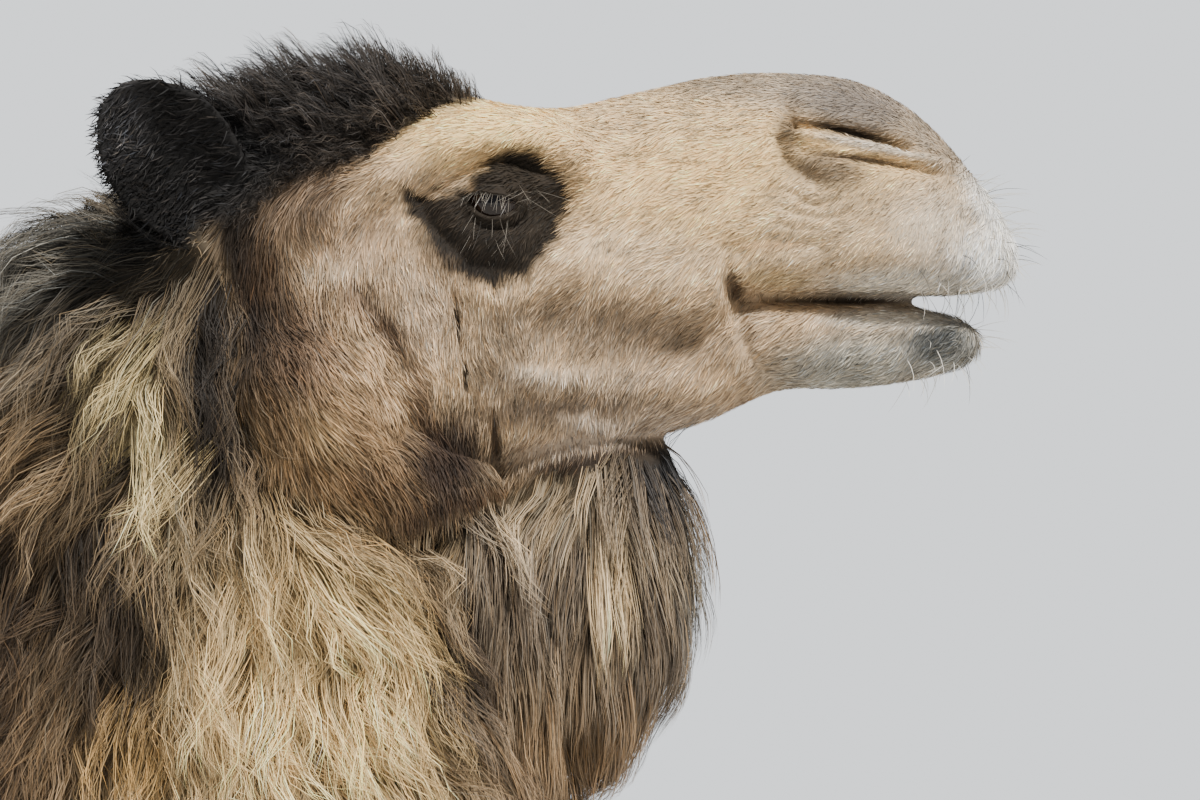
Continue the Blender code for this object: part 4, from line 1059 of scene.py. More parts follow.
def in_outline(x: Array, z: Array, outline: Sequence[tuple]) -> Array:
    """Tells which points lie inside a closed outline.

    Args:
        x: How far forward each point is.
        z: How high each point is.
        outline: The corners of the outline.

    Returns:
        True for each point inside.
    """
    inside = np.zeros(x.shape, bool)
    for (ax, az), (bx, bz) in zip(outline, [*outline[1:], outline[0]]):
        across = (az > z) != (bz > z)
        inside ^= across & (x < (bx - ax) * (z - az) / (bz - az if bz != az else 1e-9) + ax)
    return inside


def crown_share(local: Array) -> Array:
    """Tells how far each point of the head lies in the dark hair of the crown, from 0 to 1."""
    xs, zs = np.array(CROWN_EDGE).T
    edge = np.interp(local[:, 0], xs, zs)
    edge = np.where(local[:, 0] > xs[-1], 0.5, edge)
    return soft(-0.005, 0.006, local[:, 2] - edge)


def ear_share(local: Array) -> Array:
    """Tells which points belong to the ears, from 0 to 1."""
    found = np.zeros(len(local))
    for _, side in SIDES:
        root, axis, mouth, width = (np.array(vector) for vector in ear_frame(side))
        away = local - root
        along = away @ axis / EAR_LENGTH
        across = np.abs(away @ width) / (EAR_WIDTH * 1.25)
        deep = np.abs(away @ mouth) / (EAR_WIDTH * 0.9)
        found = np.maximum(found, soft(0.02, 0.16, along) * (across < 1) * (deep < 1) * (along < 1.2))
    return found


@dataclass
class Markings:
    """The colours of skin and coat, with painted shade and highlight in places, worked out from a point's place
    alone.
    """

    base: tuple = (112, 92, 70)
    warmth: float = 1.0

    @staticmethod
    def spread(colours: Array, x: Array, z: Array, blots: Sequence[Blot], share: Array) -> None:
        """Lays blots over the colours, one after another.

        Args:
            colours: The colours so far, changed in place.
            x: How far forward each point is.
            z: How high each point is.
            blots: The patches.
            share: How much of a blot each point may take.
        """
        for (mx, mz), (hx, hz), colour, strength, lean in blots:
            turn = math.radians(lean)
            u = (x - mx) * math.cos(turn) + (z - mz) * math.sin(turn)
            v = (z - mz) * math.cos(turn) - (x - mx) * math.sin(turn)
            fade = strength * share * soft(1.0, 0.25, np.hypot(u / hx, v / hz))
            colours += (linear(colour) - colours) * fade[:, None]

    def colour(self, points: Array) -> Array:
        """Works out the colour of skin and coat.

        Args:
            points: Places on the skin, in the frame.

        Returns:
            A linear colour for each.
        """
        local = points - HEAD_AT
        x, z = points[:, 0], points[:, 2]
        colours = np.tile(linear(self.base), (len(points), 1))
        everywhere = np.ones(len(points))
        self.spread(colours, x, z, BODY_BLOTS, everywhere)
        self.spread(colours, x, z, NECK_BLOTS, everywhere)
        head, beard = region_share(local, Region.FACE), region_share(local, Region.BEARD)
        self.spread(colours, local[:, 0], local[:, 2], HEAD_BLOTS, head)
        self.spread(colours, local[:, 0], local[:, 2], BEARD_BLOTS, beard)
        self.spread(colours, local[:, 0], local[:, 2], JAW_HAIR_AND_SHADOW, everywhere)
        crown = crown_share(local) * (local[:, 0] > -0.05) * (local[:, 2] > 0.0)
        colours += (linear((48, 45, 43)) - colours) * (crown * 0.92)[:, None]
        ear = ear_share(local)
        colours += (linear((24, 23, 23)) - colours) * ear[:, None]
        self.spread(colours, local[:, 0], local[:, 2], (EAR_GREY,), ear)
        # The eye's dark patch: partly dark skin and hair, partly painted shade of the socket.
        away = line_distance(local[:, 0], local[:, 2], [*EYE_DARK_AND_SHADE, EYE_DARK_AND_SHADE[0]])
        away = np.where(in_outline(local[:, 0], local[:, 2], EYE_DARK_AND_SHADE), -away, away)
        dark = soft(0.006, -0.006, away + 0.0022 * waver(local, 0.012, 5)) * (np.abs(local[:, 1]) > 0.03)
        colours += (linear((12, 11, 11)) - colours) * (dark * 0.97)[:, None]
        grey = colours.mean(axis=1, keepdims=True)
        return np.clip(grey + (colours - grey) * RICHNESS, 0.0, 1.0)


class Region(Enum):
    """The parts of the camel that carry one kind of coat each."""

    FACE = "face"
    BEARD = "beard"
    NECK = "neck"


def region_share(local: Array, region: Region) -> Array:
    """Tells how far each point lies in a region of the head and neck.

    Args:
        local: Places from the poll.
        region: The region.

    Returns:
        A share of 0 to 1 for each.
    """
    x, z = local[:, 0], local[:, 2]
    jaw = np.interp(x, (0.015, 0.030, 0.042, 0.067, 0.10, 0.134, 0.168, 0.201, 0.241, 0.33, 0.39, 0.44),
                    (-0.09, -0.115, -0.134, -0.154, -0.172, -0.184, -0.184, -0.166, -0.146, -0.124, -0.104, -0.12))
    behind = np.interp(z, (-0.17, -0.13, -0.10, -0.03, 0.03, 0.12), (0.060, 0.038, 0.028, 0.028, 0.005, -0.060))
    face = soft(-0.006, 0.010, z - jaw) * soft(-0.010, 0.012, x - behind)
    if region is Region.FACE:
        return face
    hang = soft(0.006, -0.006, z - jaw) * soft(0.150, 0.172, x + 0.10 * (z + 0.15))
    hang = hang * (z > -0.36) * soft(0.348, 0.338, x + 0.60 * np.clip(z + 0.18, 0, None))
    if region is Region.BEARD:
        return hang
    return (1.0 - face) * (1.0 - hang) * (z > -0.95) * (x > -0.40)


HEAD_FLOWS = (
    Flow(0.36, 0.120, -1.0, 0.0), Flow(0.46, 0.095, -1.0, 0.3), Flow(0.26, 0.095, -1.0, 0.0),
    Flow(0.40, 0.030, -1.0, -0.45), Flow(0.44, 0.060, -1.0, -0.2), Flow(0.32, 0.040, -1.0, -0.35),
    Flow(0.46, -0.010, -0.5, -1.0), Flow(0.53, 0.000, -0.25, -1.0), Flow(0.50, 0.045, -0.7, -0.5),
    Flow(0.40, -0.015, -0.8, -0.8), Flow(0.47, -0.070, -1.0, -0.6), Flow(0.42, -0.080, -1.0, -0.7),
    Flow(0.36, -0.060, -0.9, -0.9), Flow(0.30, -0.020, -0.8, -0.7), Flow(0.27, -0.070, -0.3, -1.0),
    Flow(0.32, -0.100, -0.7, -0.8), Flow(0.24, -0.110, -0.1, -1.0), Flow(0.20, -0.060, 0.05, -1.0),
    Flow(0.16, -0.060, 0.30, -1.0), Flow(0.12, -0.070, 0.60, -1.0), Flow(0.08, -0.100, 0.75, -1.0),
    Flow(0.12, 0.010, -0.2, -1.0), Flow(0.07, -0.020, 0.15, -1.0), Flow(0.05, -0.080, 0.5, -1.0),
    Flow(0.20, 0.075, -1.0, -0.45), Flow(0.15, 0.060, -1.0, -0.6), Flow(0.25, 0.060, -0.9, -0.3),
    Flow(0.13, -0.140, 0.9, -0.9), Flow(0.18, -0.140, 0.2, -1.0), Flow(0.24, -0.020, -0.6, -1.0),
    Flow(0.26, 0.020, -0.8, -0.6), Flow(0.10, 0.090, -1.0, 0.1), Flow(0.02, 0.080, -1.0, -0.2),
    Flow(0.16, 0.115, -1.0, 0.2), Flow(-0.05, 0.03, -1.0, -0.4),
    Flow(-0.08, -0.06, -0.8, -0.7), Flow(-0.05, -0.16, -0.45, -1.0), Flow(0.02, -0.16, -0.2, -1.0),
    Flow(0.10, -0.22, 0.30, -1.0), Flow(0.15, -0.30, 0.55, -1.0), Flow(0.04, -0.28, 0.05, -1.0),
    Flow(-0.05, -0.30, -0.25, -1.0), Flow(-0.14, -0.22, -0.5, -1.0), Flow(0.16, -0.40, 0.3, -1.0),
    Flow(0.19, -0.17, -0.40, -0.8), Flow(0.19, -0.24, -0.12, -1.0), Flow(0.24, -0.16, -0.25, -1.0),
    Flow(0.26, -0.24, -0.02, -1.0), Flow(0.30, -0.17, 0.30, -1.0), Flow(0.33, -0.24, 0.15, -1.0),
    Flow(0.30, -0.31, 0.00, -1.0), Flow(0.21, -0.31, 0.05, -1.0),
)
BODY_FLOWS = (
    Flow(0.62, 1.75, -0.6, -1.0), Flow(0.80, 1.45, -0.2, -1.0), Flow(0.60, 1.35, -0.4, -1.0),
    Flow(0.55, 1.15, -0.3, -1.0), Flow(0.45, 1.50, -0.5, -0.8), Flow(0.30, 1.30, -0.5, -1.0),
    Flow(0.25, 1.60, -0.8, -0.6), Flow(0.05, 1.35, -0.6, -0.9), Flow(-0.30, 1.30, -0.8, -0.7),
    Flow(-0.70, 1.30, -0.7, -0.8), Flow(-1.10, 1.30, -0.5, -1.0), Flow(-0.45, 1.65, -1.0, -0.2),
    Flow(-1.10, 1.60, -0.9, -0.6), Flow(-0.13, 1.85, -0.3, -1.0), Flow(-0.79, 1.82, -0.3, -1.0),
    Flow(-0.13, 2.10, -0.1, -1.0), Flow(-0.80, 2.04, -0.1, -1.0), Flow(-0.30, 0.95, -1.0, -0.2),
    Flow(0.10, 1.00, -0.3, -1.0), Flow(0.10, 0.60, -0.1, -1.0), Flow(0.10, 0.20, 0.0, -1.0),
    Flow(-1.05, 1.00, -0.2, -1.0), Flow(-1.05, 0.60, -0.2, -1.0), Flow(-1.05, 0.20, 0.0, -1.0),
    Flow(-1.30, 1.20, 0.0, -1.0), Flow(-1.30, 0.90, 0.0, -1.0), Flow(0.38, 0.95, -0.3, -1.0),
)


@dataclass
class Comb:
    """The way that the coat lies, blended between the places where it is given."""

    head_reach: float = 0.030
    body_reach: float = 0.16
    blend_reach: float = 0.10

    def blended(self, x: Array, z: Array, flows: Sequence[Flow], reach: float) -> Array:
        """Blends the given ways, each by how near it is.

        Args:
            x: How far forward each point is.
            z: How high each point is.
            flows: The given ways.
            reach: How far each of them carries.

        Returns:
            The forward and the upward share at each point.
        """
        table = np.array(flows)
        away = (x[:, None] - table[:, 0]) ** 2 + (z[:, None] - table[:, 1]) ** 2
        nearest = away.min(axis=1, keepdims=True)
        weight = np.exp((nearest - away) / (2 * reach**2))
        ways = unit(table[:, 2:])
        return unit(weight @ ways)

    def lie(self, points: Array, normals: Array) -> Array:
        """Gives the direction in which the hair lies.

        Args:
            points: Places on the skin.
            normals: The way that the skin faces there.

        Returns:
            Unit directions along the skin.
        """
        x, z = points[:, 0], points[:, 2]
        head = self.blended(x - HEAD_AT[0], z - HEAD_AT[2], HEAD_FLOWS, self.head_reach)
        rest = self.blended(x, z, BODY_FLOWS, self.body_reach)
        share = soft(-0.46, -0.34, z - HEAD_AT[2]) * soft(-0.30, -0.18, x - HEAD_AT[0])
        way = head * share[:, None] + rest * (1.0 - share[:, None])
        full = np.stack((way[:, 0], np.zeros(len(way)), way[:, 1]), axis=1)
        full -= normals * (full * normals).sum(axis=1, keepdims=True)
        return unit(full)


# ---- Coat --------------------------------------------------------------------------------------

PATCH = 0.003  # width of one tuft's patch on the map that colours are kept on


@dataclass
class Ground:
    """The finished skin, as the coat sees it."""

    skin: bpy.types.Object
    markings: Markings
    comb: Comb

    def __post_init__(self) -> None:
        """Reads the skin's points, faces and nearest-point tree."""
        mesh = self.skin.data
        mesh.calc_loop_triangles()
        flat = np.empty(len(mesh.loop_triangles) * 3, np.int32)
        mesh.loop_triangles.foreach_get("vertices", flat)
        self.faces = flat.reshape(-1, 3)
        self.points, self.normals = points_of(mesh), normals_of(mesh)
        corners = self.points[self.faces]
        self.middles = corners.mean(axis=1)
        crossed = np.cross(corners[:, 1] - corners[:, 0], corners[:, 2] - corners[:, 0])
        self.areas = np.linalg.norm(crossed, axis=1) / 2
        self.tree = BVHTree.FromPolygons(self.points.tolist(), self.faces.tolist())

    def roots(
        self, share: Callable[[Array], Array], spacing: float, random: np.random.RandomState
    ) -> tuple[Array, Array]:
        """Spreads roots evenly over part of the skin.

        Args:
            share: How thickly each place is covered, from 0 to 1.
            spacing: The distance between neighbours.
            random: The source of chance.

        Returns:
            The roots, and the way that the skin faces at each.
        """
        covered = share(self.middles)
        weight = self.areas * (covered > 0.001)
        count = int(3.0 * weight.sum() / spacing**2)
        chosen = random.choice(len(weight), count, p=weight / weight.sum())
        first, second = random.random_sample(count), random.random_sample(count)
        fold = first + second > 1
        first, second = np.where(fold, 1 - first, first), np.where(fold, 1 - second, second)
        parts = np.stack((1 - first - second, first, second), axis=1)[:, :, None]
        corners = self.faces[chosen]
        points = (self.points[corners] * parts).sum(axis=1)
        normals = unit((self.normals[corners] * parts).sum(axis=1))
        cells = np.floor(points / spacing + 0.37).astype(np.int64)
        keys = (cells[:, 0] * 73856093) ^ (cells[:, 1] * 19349663) ^ (cells[:, 2] * 83492791)
        kept = np.sort(np.unique(keys, return_index=True)[1])
        kept = kept[random.random_sample(len(kept)) < share(points[kept])]
        return points[kept], normals[kept]

    def nearest(self, points: Array) -> tuple[Array, Array]:
        """Finds the skin under each point.

        Args:
            points: Places near the skin.

        Returns:
            The nearest places of the skin, and the way that it faces there.
        """
        places, facing = np.empty_like(points), np.empty_like(points)
        for k, point in enumerate(points.tolist()):
            place, normal, _, _ = self.tree.find_nearest(point)
            places[k], facing[k] = place, normal
        return places, facing


def unwrapped(roots: Array, axis: int) -> Array:
    """Unrolls the skin under a coat piece round one axis, as a sleeve is unrolled.

    Args:
        roots: The roots of the tufts.
        axis: 0, 1 or 2 for x, y or z.

    Returns:
        Two map coordinates for each root, from 0 to 1.
    """
    first, second = [k for k in range(3) if k != axis]
    middle = (roots.min(axis=0) + roots.max(axis=0)) / 2
    angle = np.arctan2(roots[:, second] - middle[second], roots[:, first] - middle[first])
    low, high = roots[:, axis].min(), roots[:, axis].max()
    along = (roots[:, axis] - low) / max(high - low, 1e-6)
    return 0.01 + 0.98 * np.stack((angle / (2 * math.pi) + 0.5, along), axis=1)


def strands(
    name: str, paths: Array, sides: Array, widths: Array, colours: Array, chart: Array
) -> bpy.types.Object:
    """Makes one mesh of thin tapering blades.

    Args:
        name: The name of the piece.
        paths: For each blade, the points that it follows.
        sides: For each of those points, the direction across the blade.
        widths: The width of the blade there.
        colours: The linear colour there.
        chart: Where each blade's root lies on the map.

    Returns:
        The piece, not yet painted.
    """
    count, steps = paths.shape[:2]
    per = 2 * (steps - 1) + 1
    half = sides * (widths[:, :, None] / 2)
    verts = np.empty((count, per, 3), np.float32)
    verts[:, 0:-1:2] = (paths - half)[:, :-1]
    verts[:, 1::2] = (paths + half)[:, :-1]
    verts[:, -1] = paths[:, -1]
    verts[:, :, 2] = np.maximum(verts[:, :, 2], 0.0008)
    corners = [k for j in range(steps - 2) for k in (2 * j, 2 * j + 1, 2 * j + 3, 2 * j + 2)]
    corners += [2 * (steps - 2), 2 * (steps - 2) + 1, 2 * (steps - 1)]
    corners = np.array(corners)
    starts = np.array([4 * j for j in range(steps - 1)])
    loops = (np.arange(count)[:, None] * per + corners).astype(np.int32)
    begins = (np.arange(count)[:, None] * len(corners) + starts).astype(np.int32)
    mesh = bpy.data.meshes.new(name)
    mesh.vertices.add(count * per)
    mesh.vertices.foreach_set("co", verts.ravel())
    mesh.loops.add(loops.size)
    mesh.loops.foreach_set("vertex_index", loops.ravel())
    mesh.polygons.add(begins.size)
    mesh.polygons.foreach_set("loop_start", begins.ravel())
    mesh.update(calc_edges=True)
    level = np.array([*np.repeat(np.arange(steps - 1), 2), steps - 1])
    tone = np.ones((count, per, 4), np.float32)
    tone[:, :, :3] = np.clip(colours, 0.0, 1.0)[:, level]
    attribute = mesh.attributes.new("tone", "FLOAT_COLOR", "POINT")
    attribute.data.foreach_set("color", tone.ravel())
    across = np.array([*np.tile((0.0, 1.0), steps - 1), 0.5])
    local = np.stack((across - 0.5, level / (steps - 1) - 0.5), axis=1) * PATCH
    spots = chart[:, None, :] + local[corners]
    mesh.uv_layers.new(name="OFBake").data.foreach_set("uv", spots.astype(np.float32).ravel())
    mesh.shade_smooth()
    piece = bpy.data.objects.new(name, mesh)
    bpy.context.scene.collection.objects.link(piece)
    return piece


def waver(points: Array, scale: float, seed: int) -> Array:
    """Gives a smooth chance value to every place, from about -1 to 1.

    Args:
        points: The places.
        scale: The size of one swell.
        seed: The start of the chance.

    Returns:
        The value at each place.
    """
    random = np.random.RandomState(seed)
    value = np.zeros(len(points))
    for _ in range(7):
        way = unit(random.standard_normal(3)) * random.uniform(0.6, 1.5) * 2 * math.pi / scale
        value += np.sin(points @ way + random.uniform(0, 2 * math.pi))
    return np.clip(value / 2.6, -1.2, 1.2)


def turned(vectors: Array, axes: Array, angles: Array) -> Array:
    """Turns each vector about its own axis, to which it stands square."""
    cosine, sine = np.cos(angles)[:, None], np.sin(angles)[:, None]
    return vectors * cosine + np.cross(axes, vectors) * sine


@dataclass(frozen=True)
class Tint:
    """How the colour of the hair differs from tuft to tuft, and from root to tip. The darker roots are painted
    shade down among the hair; the lighter tips are bleached.
    """

    root: float = 0.55
    tip: float = 1.20
    vary: float = 0.20
    dark_share: float = 0.10
    bright_share: float = 0.08
    bright: float = 1.45

    def colours(self, base: Array, steps: int, random: np.random.RandomState) -> Array:
        """Colours the tufts.

        Args:
            base: The colour of the coat at each root.
            steps: How many points each tuft has.
            random: The source of chance.

        Returns:
            The colour at every point of every tuft.
        """
        count = len(base)
        level = 1.0 + self.vary * random.standard_normal(count).clip(-2, 2)
        chance = random.random_sample(count)
        level = np.where(chance < self.dark_share, level * 0.55, level)
        level = np.where(chance > 1 - self.bright_share, level * self.bright, level)
        along = np.linspace(0, 1, steps) ** 0.8
        # painted shade: every tuft darkens towards its root, and lightens towards its bleached tip
        ramp = self.root + (self.tip - self.root) * along
        shade = level[:, None, None] * ramp[None, :, None]
        warm = 1.0 + 0.06 * random.standard_normal((count, 1)) * np.array((1.0, 0.1, -1.2))
        return base[:, None, :] * warm[:, None, :] * shade


@dataclass
class Fur:
    """Short tufts that lie along the skin."""

    name: str
    slot: str
    share: Callable[[Array], Array]
    spacing: float
    length: Callable[[Array], Array]
    width: float
    lift: float = 0.16
    wild: float = 0.16  # how far the tufts stray from the lie of the coat, in radians
    sweep: float = 0.26  # how far drifts of them turn together
    mottle: float = 0.20  # how much lighter and darker those drifts are
    axis: int = 0
    tint: Tint = Tint()
    seed: int = 1

    def grow(self, ground: Ground) -> bpy.types.Object:
        """Grows the tufts.

        Args:
            ground: The skin that they grow on.

        Returns:
            The piece, not yet painted.
        """
        random = np.random.RandomState(self.seed)
        roots, normals = ground.roots(self.share, self.spacing, random)
        count = len(roots)
        lie = ground.comb.lie(roots, normals)
        stray = self.wild * random.standard_normal(count) + self.sweep * waver(roots, 0.030, self.seed)
        lie = turned(lie, normals, stray)
        length = self.length(roots) * random.uniform(0.7, 1.25, count)
        rise = length * self.lift * random.uniform(0.5, 1.6, count)
        steps = np.array((0.0, 0.5, 1.0))
        height = np.array((-0.10, 0.75, 1.0))
        paths = roots[:, None] + lie[:, None] * (length[:, None] * steps)[:, :, None]
        paths = paths + normals[:, None] * (rise[:, None] * height)[:, :, None]
        sides = np.cross(normals, lie)
        sides = turned(sides, lie, random.uniform(-0.6, 0.6, count))
        width = self.width * random.uniform(0.7, 1.3, count)
        widths = width[:, None] * np.array((1.0, 0.85, 0.0))
        level = 1.0 + self.mottle * (waver(roots, 0.024, 3) + waver(roots, 0.008, 4))
        colours = self.tint.colours(ground.markings.colour(roots) * level[:, None], 3, random)
        sides = np.repeat(sides[:, None], 3, axis=1)
        return strands(self.name, paths, sides, widths, colours, unwrapped(roots, self.axis))


@dataclass
class Locks:
    """Long hair that grows in locks, each a bundle of blades round one bent line."""

    name: str
    slot: str
    share: Callable[[Array], Array]
    spacing: float
    length: tuple
    depth: tuple  # how high above the skin the locks lie
    blades: int = 8
    spread: float = 0.008
    width: float = 0.0016
    clump: float = 0.6
    curl: float = 0.003
    waves: float = 1.6
    cling: float = 0.8  # 1 follows the skin and 0 hangs free
    fall: float = 0.25
    wild: float = 0.18
    axis: int = 2
    steps: int = 6
    tint: Tint = Tint()
    seed: int = 2
    swell: float = 0.05  # the size of the drifts that the locks gather in
    sweep: float = 0.30  # how far a drift turns away from the lie of the coat
    trim: Callable[[Array], Array] | None = None  # a share of the length at each root

    def guides(
        self, ground: Ground, roots: Array, normals: Array, random: np.random.RandomState
    ) -> tuple[Array, Array, Array]:
        """Leads the middle line of every lock over the skin.

        Args:
            ground: The skin.
            roots: Where the locks start.
            normals: The way that the skin faces there.
            random: The source of chance.

        Returns:
            The points of each line, the way that the skin faces under them, and how deep
            each lock lies, from 0 to 1.
        """
        count = len(roots)
        length = random.uniform(*self.length, count)
        deep = random.uniform(*self.depth, count)
        if self.trim:
            trim = self.trim(roots)
            length, deep = length * trim, deep * trim
        drift = waver(roots, self.swell, self.seed)
        deep = deep * (1.0 + 0.25 * drift)
        stray = self.wild * random.standard_normal(count)
        stray += self.sweep * waver(roots, self.swell * 1.7, self.seed + 50)
        stride = (length / (self.steps - 1))[:, None]
        paths, facing = np.empty((count, self.steps, 3)), np.empty((count, self.steps, 3))
        paths[:, 0], facing[:, 0] = roots - normals * 0.001, normals
        way = turned(ground.comb.lie(roots, normals), normals, stray)
        here, under = roots.copy(), normals
        for k in range(1, self.steps):
            share = k / (self.steps - 1)
            wanted = deep * min(1.0, 1.5 * share) ** 0.7
            ahead = unit(way + np.array((0.0, 0.0, -self.fall * share)))
            moved = here + ahead * stride
            place, under = ground.nearest(moved)
            above = ((moved - place) * under).sum(axis=1)
            held = np.where(above < wanted, wanted, above + (wanted - above) * self.cling)
            moved = moved + under * (held - above)[:, None]
            paths[:, k], facing[:, k] = moved, under
            lie = turned(ground.comb.lie(place, under), under, stray)
            way = unit(0.45 * unit(moved - here) + 0.75 * lie)
            here = moved
        low, high = self.depth
        return paths, facing, np.clip((deep - low) / (high - low), 0.0, 1.2)

    def grow(self, ground: Ground) -> bpy.types.Object:
        """Grows the locks.

        Args:
            ground: The skin that they grow on.

        Returns:
            The piece, not yet painted.
        """
        random = np.random.RandomState(self.seed)
        roots, normals = ground.roots(self.share, self.spacing, random)
        lines, facing, layer = self.guides(ground, roots, normals, random)
        base = ground.markings.colour(lines[:, int(0.55 * self.steps)])
        # Painted shade: locks lying close to the skin are darker, as if shaded by the locks above them; broad
        # drifts are also lighter and darker at random.
        level = (1.0 + 0.16 * waver(roots, self.swell, self.seed)) * (0.58 + 0.62 * layer)
        base = base * level[:, None]
        count, each = len(roots), self.blades
        ahead = unit(np.gradient(lines, axis=1))
        across = unit(np.cross(facing, ahead))
        share = np.linspace(0, 1, self.steps)
        angle = random.uniform(0, 2 * math.pi, (count, each))
        radius = self.spread * np.sqrt(random.uniform(0.02, 1, (count, each)))
        closing = 1.0 - self.clump * share**1.3
        out = (radius * np.cos(angle))[:, :, None] * closing
        up = (radius * np.sin(angle))[:, :, None] * closing * (0.15 + 0.5 * share)
        phase = random.uniform(0, 2 * math.pi, (count, 1, 1)) + random.normal(0, 0.5, (count, each, 1))
        turns = 2 * math.pi * self.waves * random.uniform(0.7, 1.3, (count, 1, 1)) * share
        size = self.curl * random.uniform(0.4, 1.6, (count, each, 1)) * share
        out = out + size * np.sin(turns + phase)
        up = up + 0.6 * size * np.cos(turns + phase)
        reach = random.uniform(0.72, 1.06, (count, each, 1)) * share
        place = np.clip(reach, 0, 1) * (self.steps - 1)
        low = np.minimum(place.astype(int), self.steps - 2)
        part = (place - low)[..., None]
        rows = np.arange(count)[:, None, None]

        def along(table: Array) -> Array:
            """Reads a table of the middle lines at each blade's own steps."""
            return table[rows, low] * (1 - part) + table[rows, low + 1] * part

        sideways, skyward = along(across), along(facing)
        paths = along(lines) + sideways * out[..., None] + skyward * up[..., None]
        paths = paths.reshape(count * each, self.steps, 3)
        tangent = unit(np.gradient(paths, axis=1))
        sides = unit(np.cross(skyward.reshape(paths.shape), tangent))
        roll = random.uniform(-0.8, 0.8, count * each)
        sides = turned(
            sides.reshape(-1, 3), tangent.reshape(-1, 3), np.repeat(roll, self.steps)
        ).reshape(paths.shape)
        width = self.width * random.uniform(0.6, 1.35, count * each)
        widths = width[:, None] * np.array([*np.linspace(1.0, 0.55, self.steps - 1), 0.0])
        bundle = random.normal(1.0, 0.14, (count, 1)).clip(0.6, 1.5)
        base = np.repeat(base * bundle, each, axis=0)
        colours = self.tint.colours(base, self.steps, random)
        chart = np.repeat(unwrapped(roots, self.axis), each, axis=0)
        return strands(self.name, paths, sides, widths, colours, chart)


# ---- Finishes ----------------------------------------------------------------------------------


@dataclass
class Effect:
    """A shader node group with named inputs and outputs, made once and used in many finishes."""

    name: str

    def open(self, inputs: Sequence[tuple], outputs: Sequence[tuple]) -> bpy.types.NodeTree:
        """Makes the empty group.

        Args:
            inputs: The name, socket type and default of each input.
            outputs: The name and socket type of each output.

        Returns:
            The group's tree.
        """
        self.tree = bpy.data.node_groups.new(self.name, "ShaderNodeTree")
        for name, kind, default in inputs:
            socket = self.tree.interface.new_socket(name, in_out="INPUT", socket_type=kind)
            socket.default_value = default
        for name, kind in outputs:
            self.tree.interface.new_socket(name, in_out="OUTPUT", socket_type=kind)
        self.inlet = self.tree.nodes.new("NodeGroupInput")
        self.outlet = self.tree.nodes.new("NodeGroupOutput")
        return self.tree

    def node(self, kind: str, **settings: object) -> bpy.types.Node:
        """Adds a node with its settings."""
        node = self.tree.nodes.new(kind)
        for name, value in settings.items():
            setattr(node, name, value)
        return node

    def link(self, start: bpy.types.NodeSocket, end: bpy.types.NodeSocket) -> None:
        """Joins two sockets."""
        self.tree.links.new(start, end)


def mottle_effect() -> bpy.types.NodeTree:
    """Makes the group that mottles a colour with broad and fine shades.

    Returns:
        The group, with Color, Scale and Amount going in, and Color going out.
    """
    effect = Effect("coat_mottle")
    tree = effect.open(
        [
            ("Color", "NodeSocketColor", (0.5, 0.5, 0.5, 1.0)),
            ("Scale", "NodeSocketFloat", 12.0),
            ("Amount", "NodeSocketFloat", 0.3),
        ],
        [("Color", "NodeSocketColor")],
    )
    place = effect.node("ShaderNodeTexCoord")
    noise = effect.node("ShaderNodeTexNoise")
    noise.inputs["Detail"].default_value = 5.0
    noise.inputs["Roughness"].default_value = 0.62
    effect.link(place.outputs["Object"], noise.inputs["Vector"])
    effect.link(effect.inlet.outputs["Scale"], noise.inputs["Scale"])
    spread = effect.node("ShaderNodeMath", operation="SUBTRACT")
    effect.link(noise.outputs["Fac"], spread.inputs[0])
    spread.inputs[1].default_value = 0.5
    scaled = effect.node("ShaderNodeMath", operation="MULTIPLY_ADD")
    effect.link(spread.outputs[0], scaled.inputs[0])
    effect.link(effect.inlet.outputs["Amount"], scaled.inputs[1])
    scaled.inputs[2].default_value = 1.0
    shade = effect.node("ShaderNodeMix", data_type="RGBA", blend_type="MULTIPLY")
    shade.inputs["Factor"].default_value = 1.0
    effect.link(effect.inlet.outputs["Color"], shade.inputs[6])
    effect.link(scaled.outputs[0], shade.inputs[7])
    effect.link(shade.outputs[2], effect.outlet.inputs["Color"])
    return tree


def grain_effect() -> bpy.types.NodeTree:
    """Makes the group that gives the height of fine short grain.

    Returns:
        The group, with Scale and Stretch going in, and Height going out.
    """
    effect = Effect("fine_grain")
    tree = effect.open(
        [("Scale", "NodeSocketFloat", 300.0), ("Stretch", "NodeSocketVector", (1.0, 1.0, 1.0))],
        [("Height", "NodeSocketFloat")],
    )
    place = effect.node("ShaderNodeTexCoord")
    stretch = effect.node("ShaderNodeVectorMath", operation="MULTIPLY")
    effect.link(place.outputs["Object"], stretch.inputs[0])
    effect.link(effect.inlet.outputs["Stretch"], stretch.inputs[1])
    noise = effect.node("ShaderNodeTexNoise")
    noise.inputs["Detail"].default_value = 4.0
    noise.inputs["Distortion"].default_value = 0.6
    effect.link(stretch.outputs[0], noise.inputs["Vector"])
    effect.link(effect.inlet.outputs["Scale"], noise.inputs["Scale"])
    effect.link(noise.outputs["Fac"], effect.outlet.inputs["Height"])
    return tree


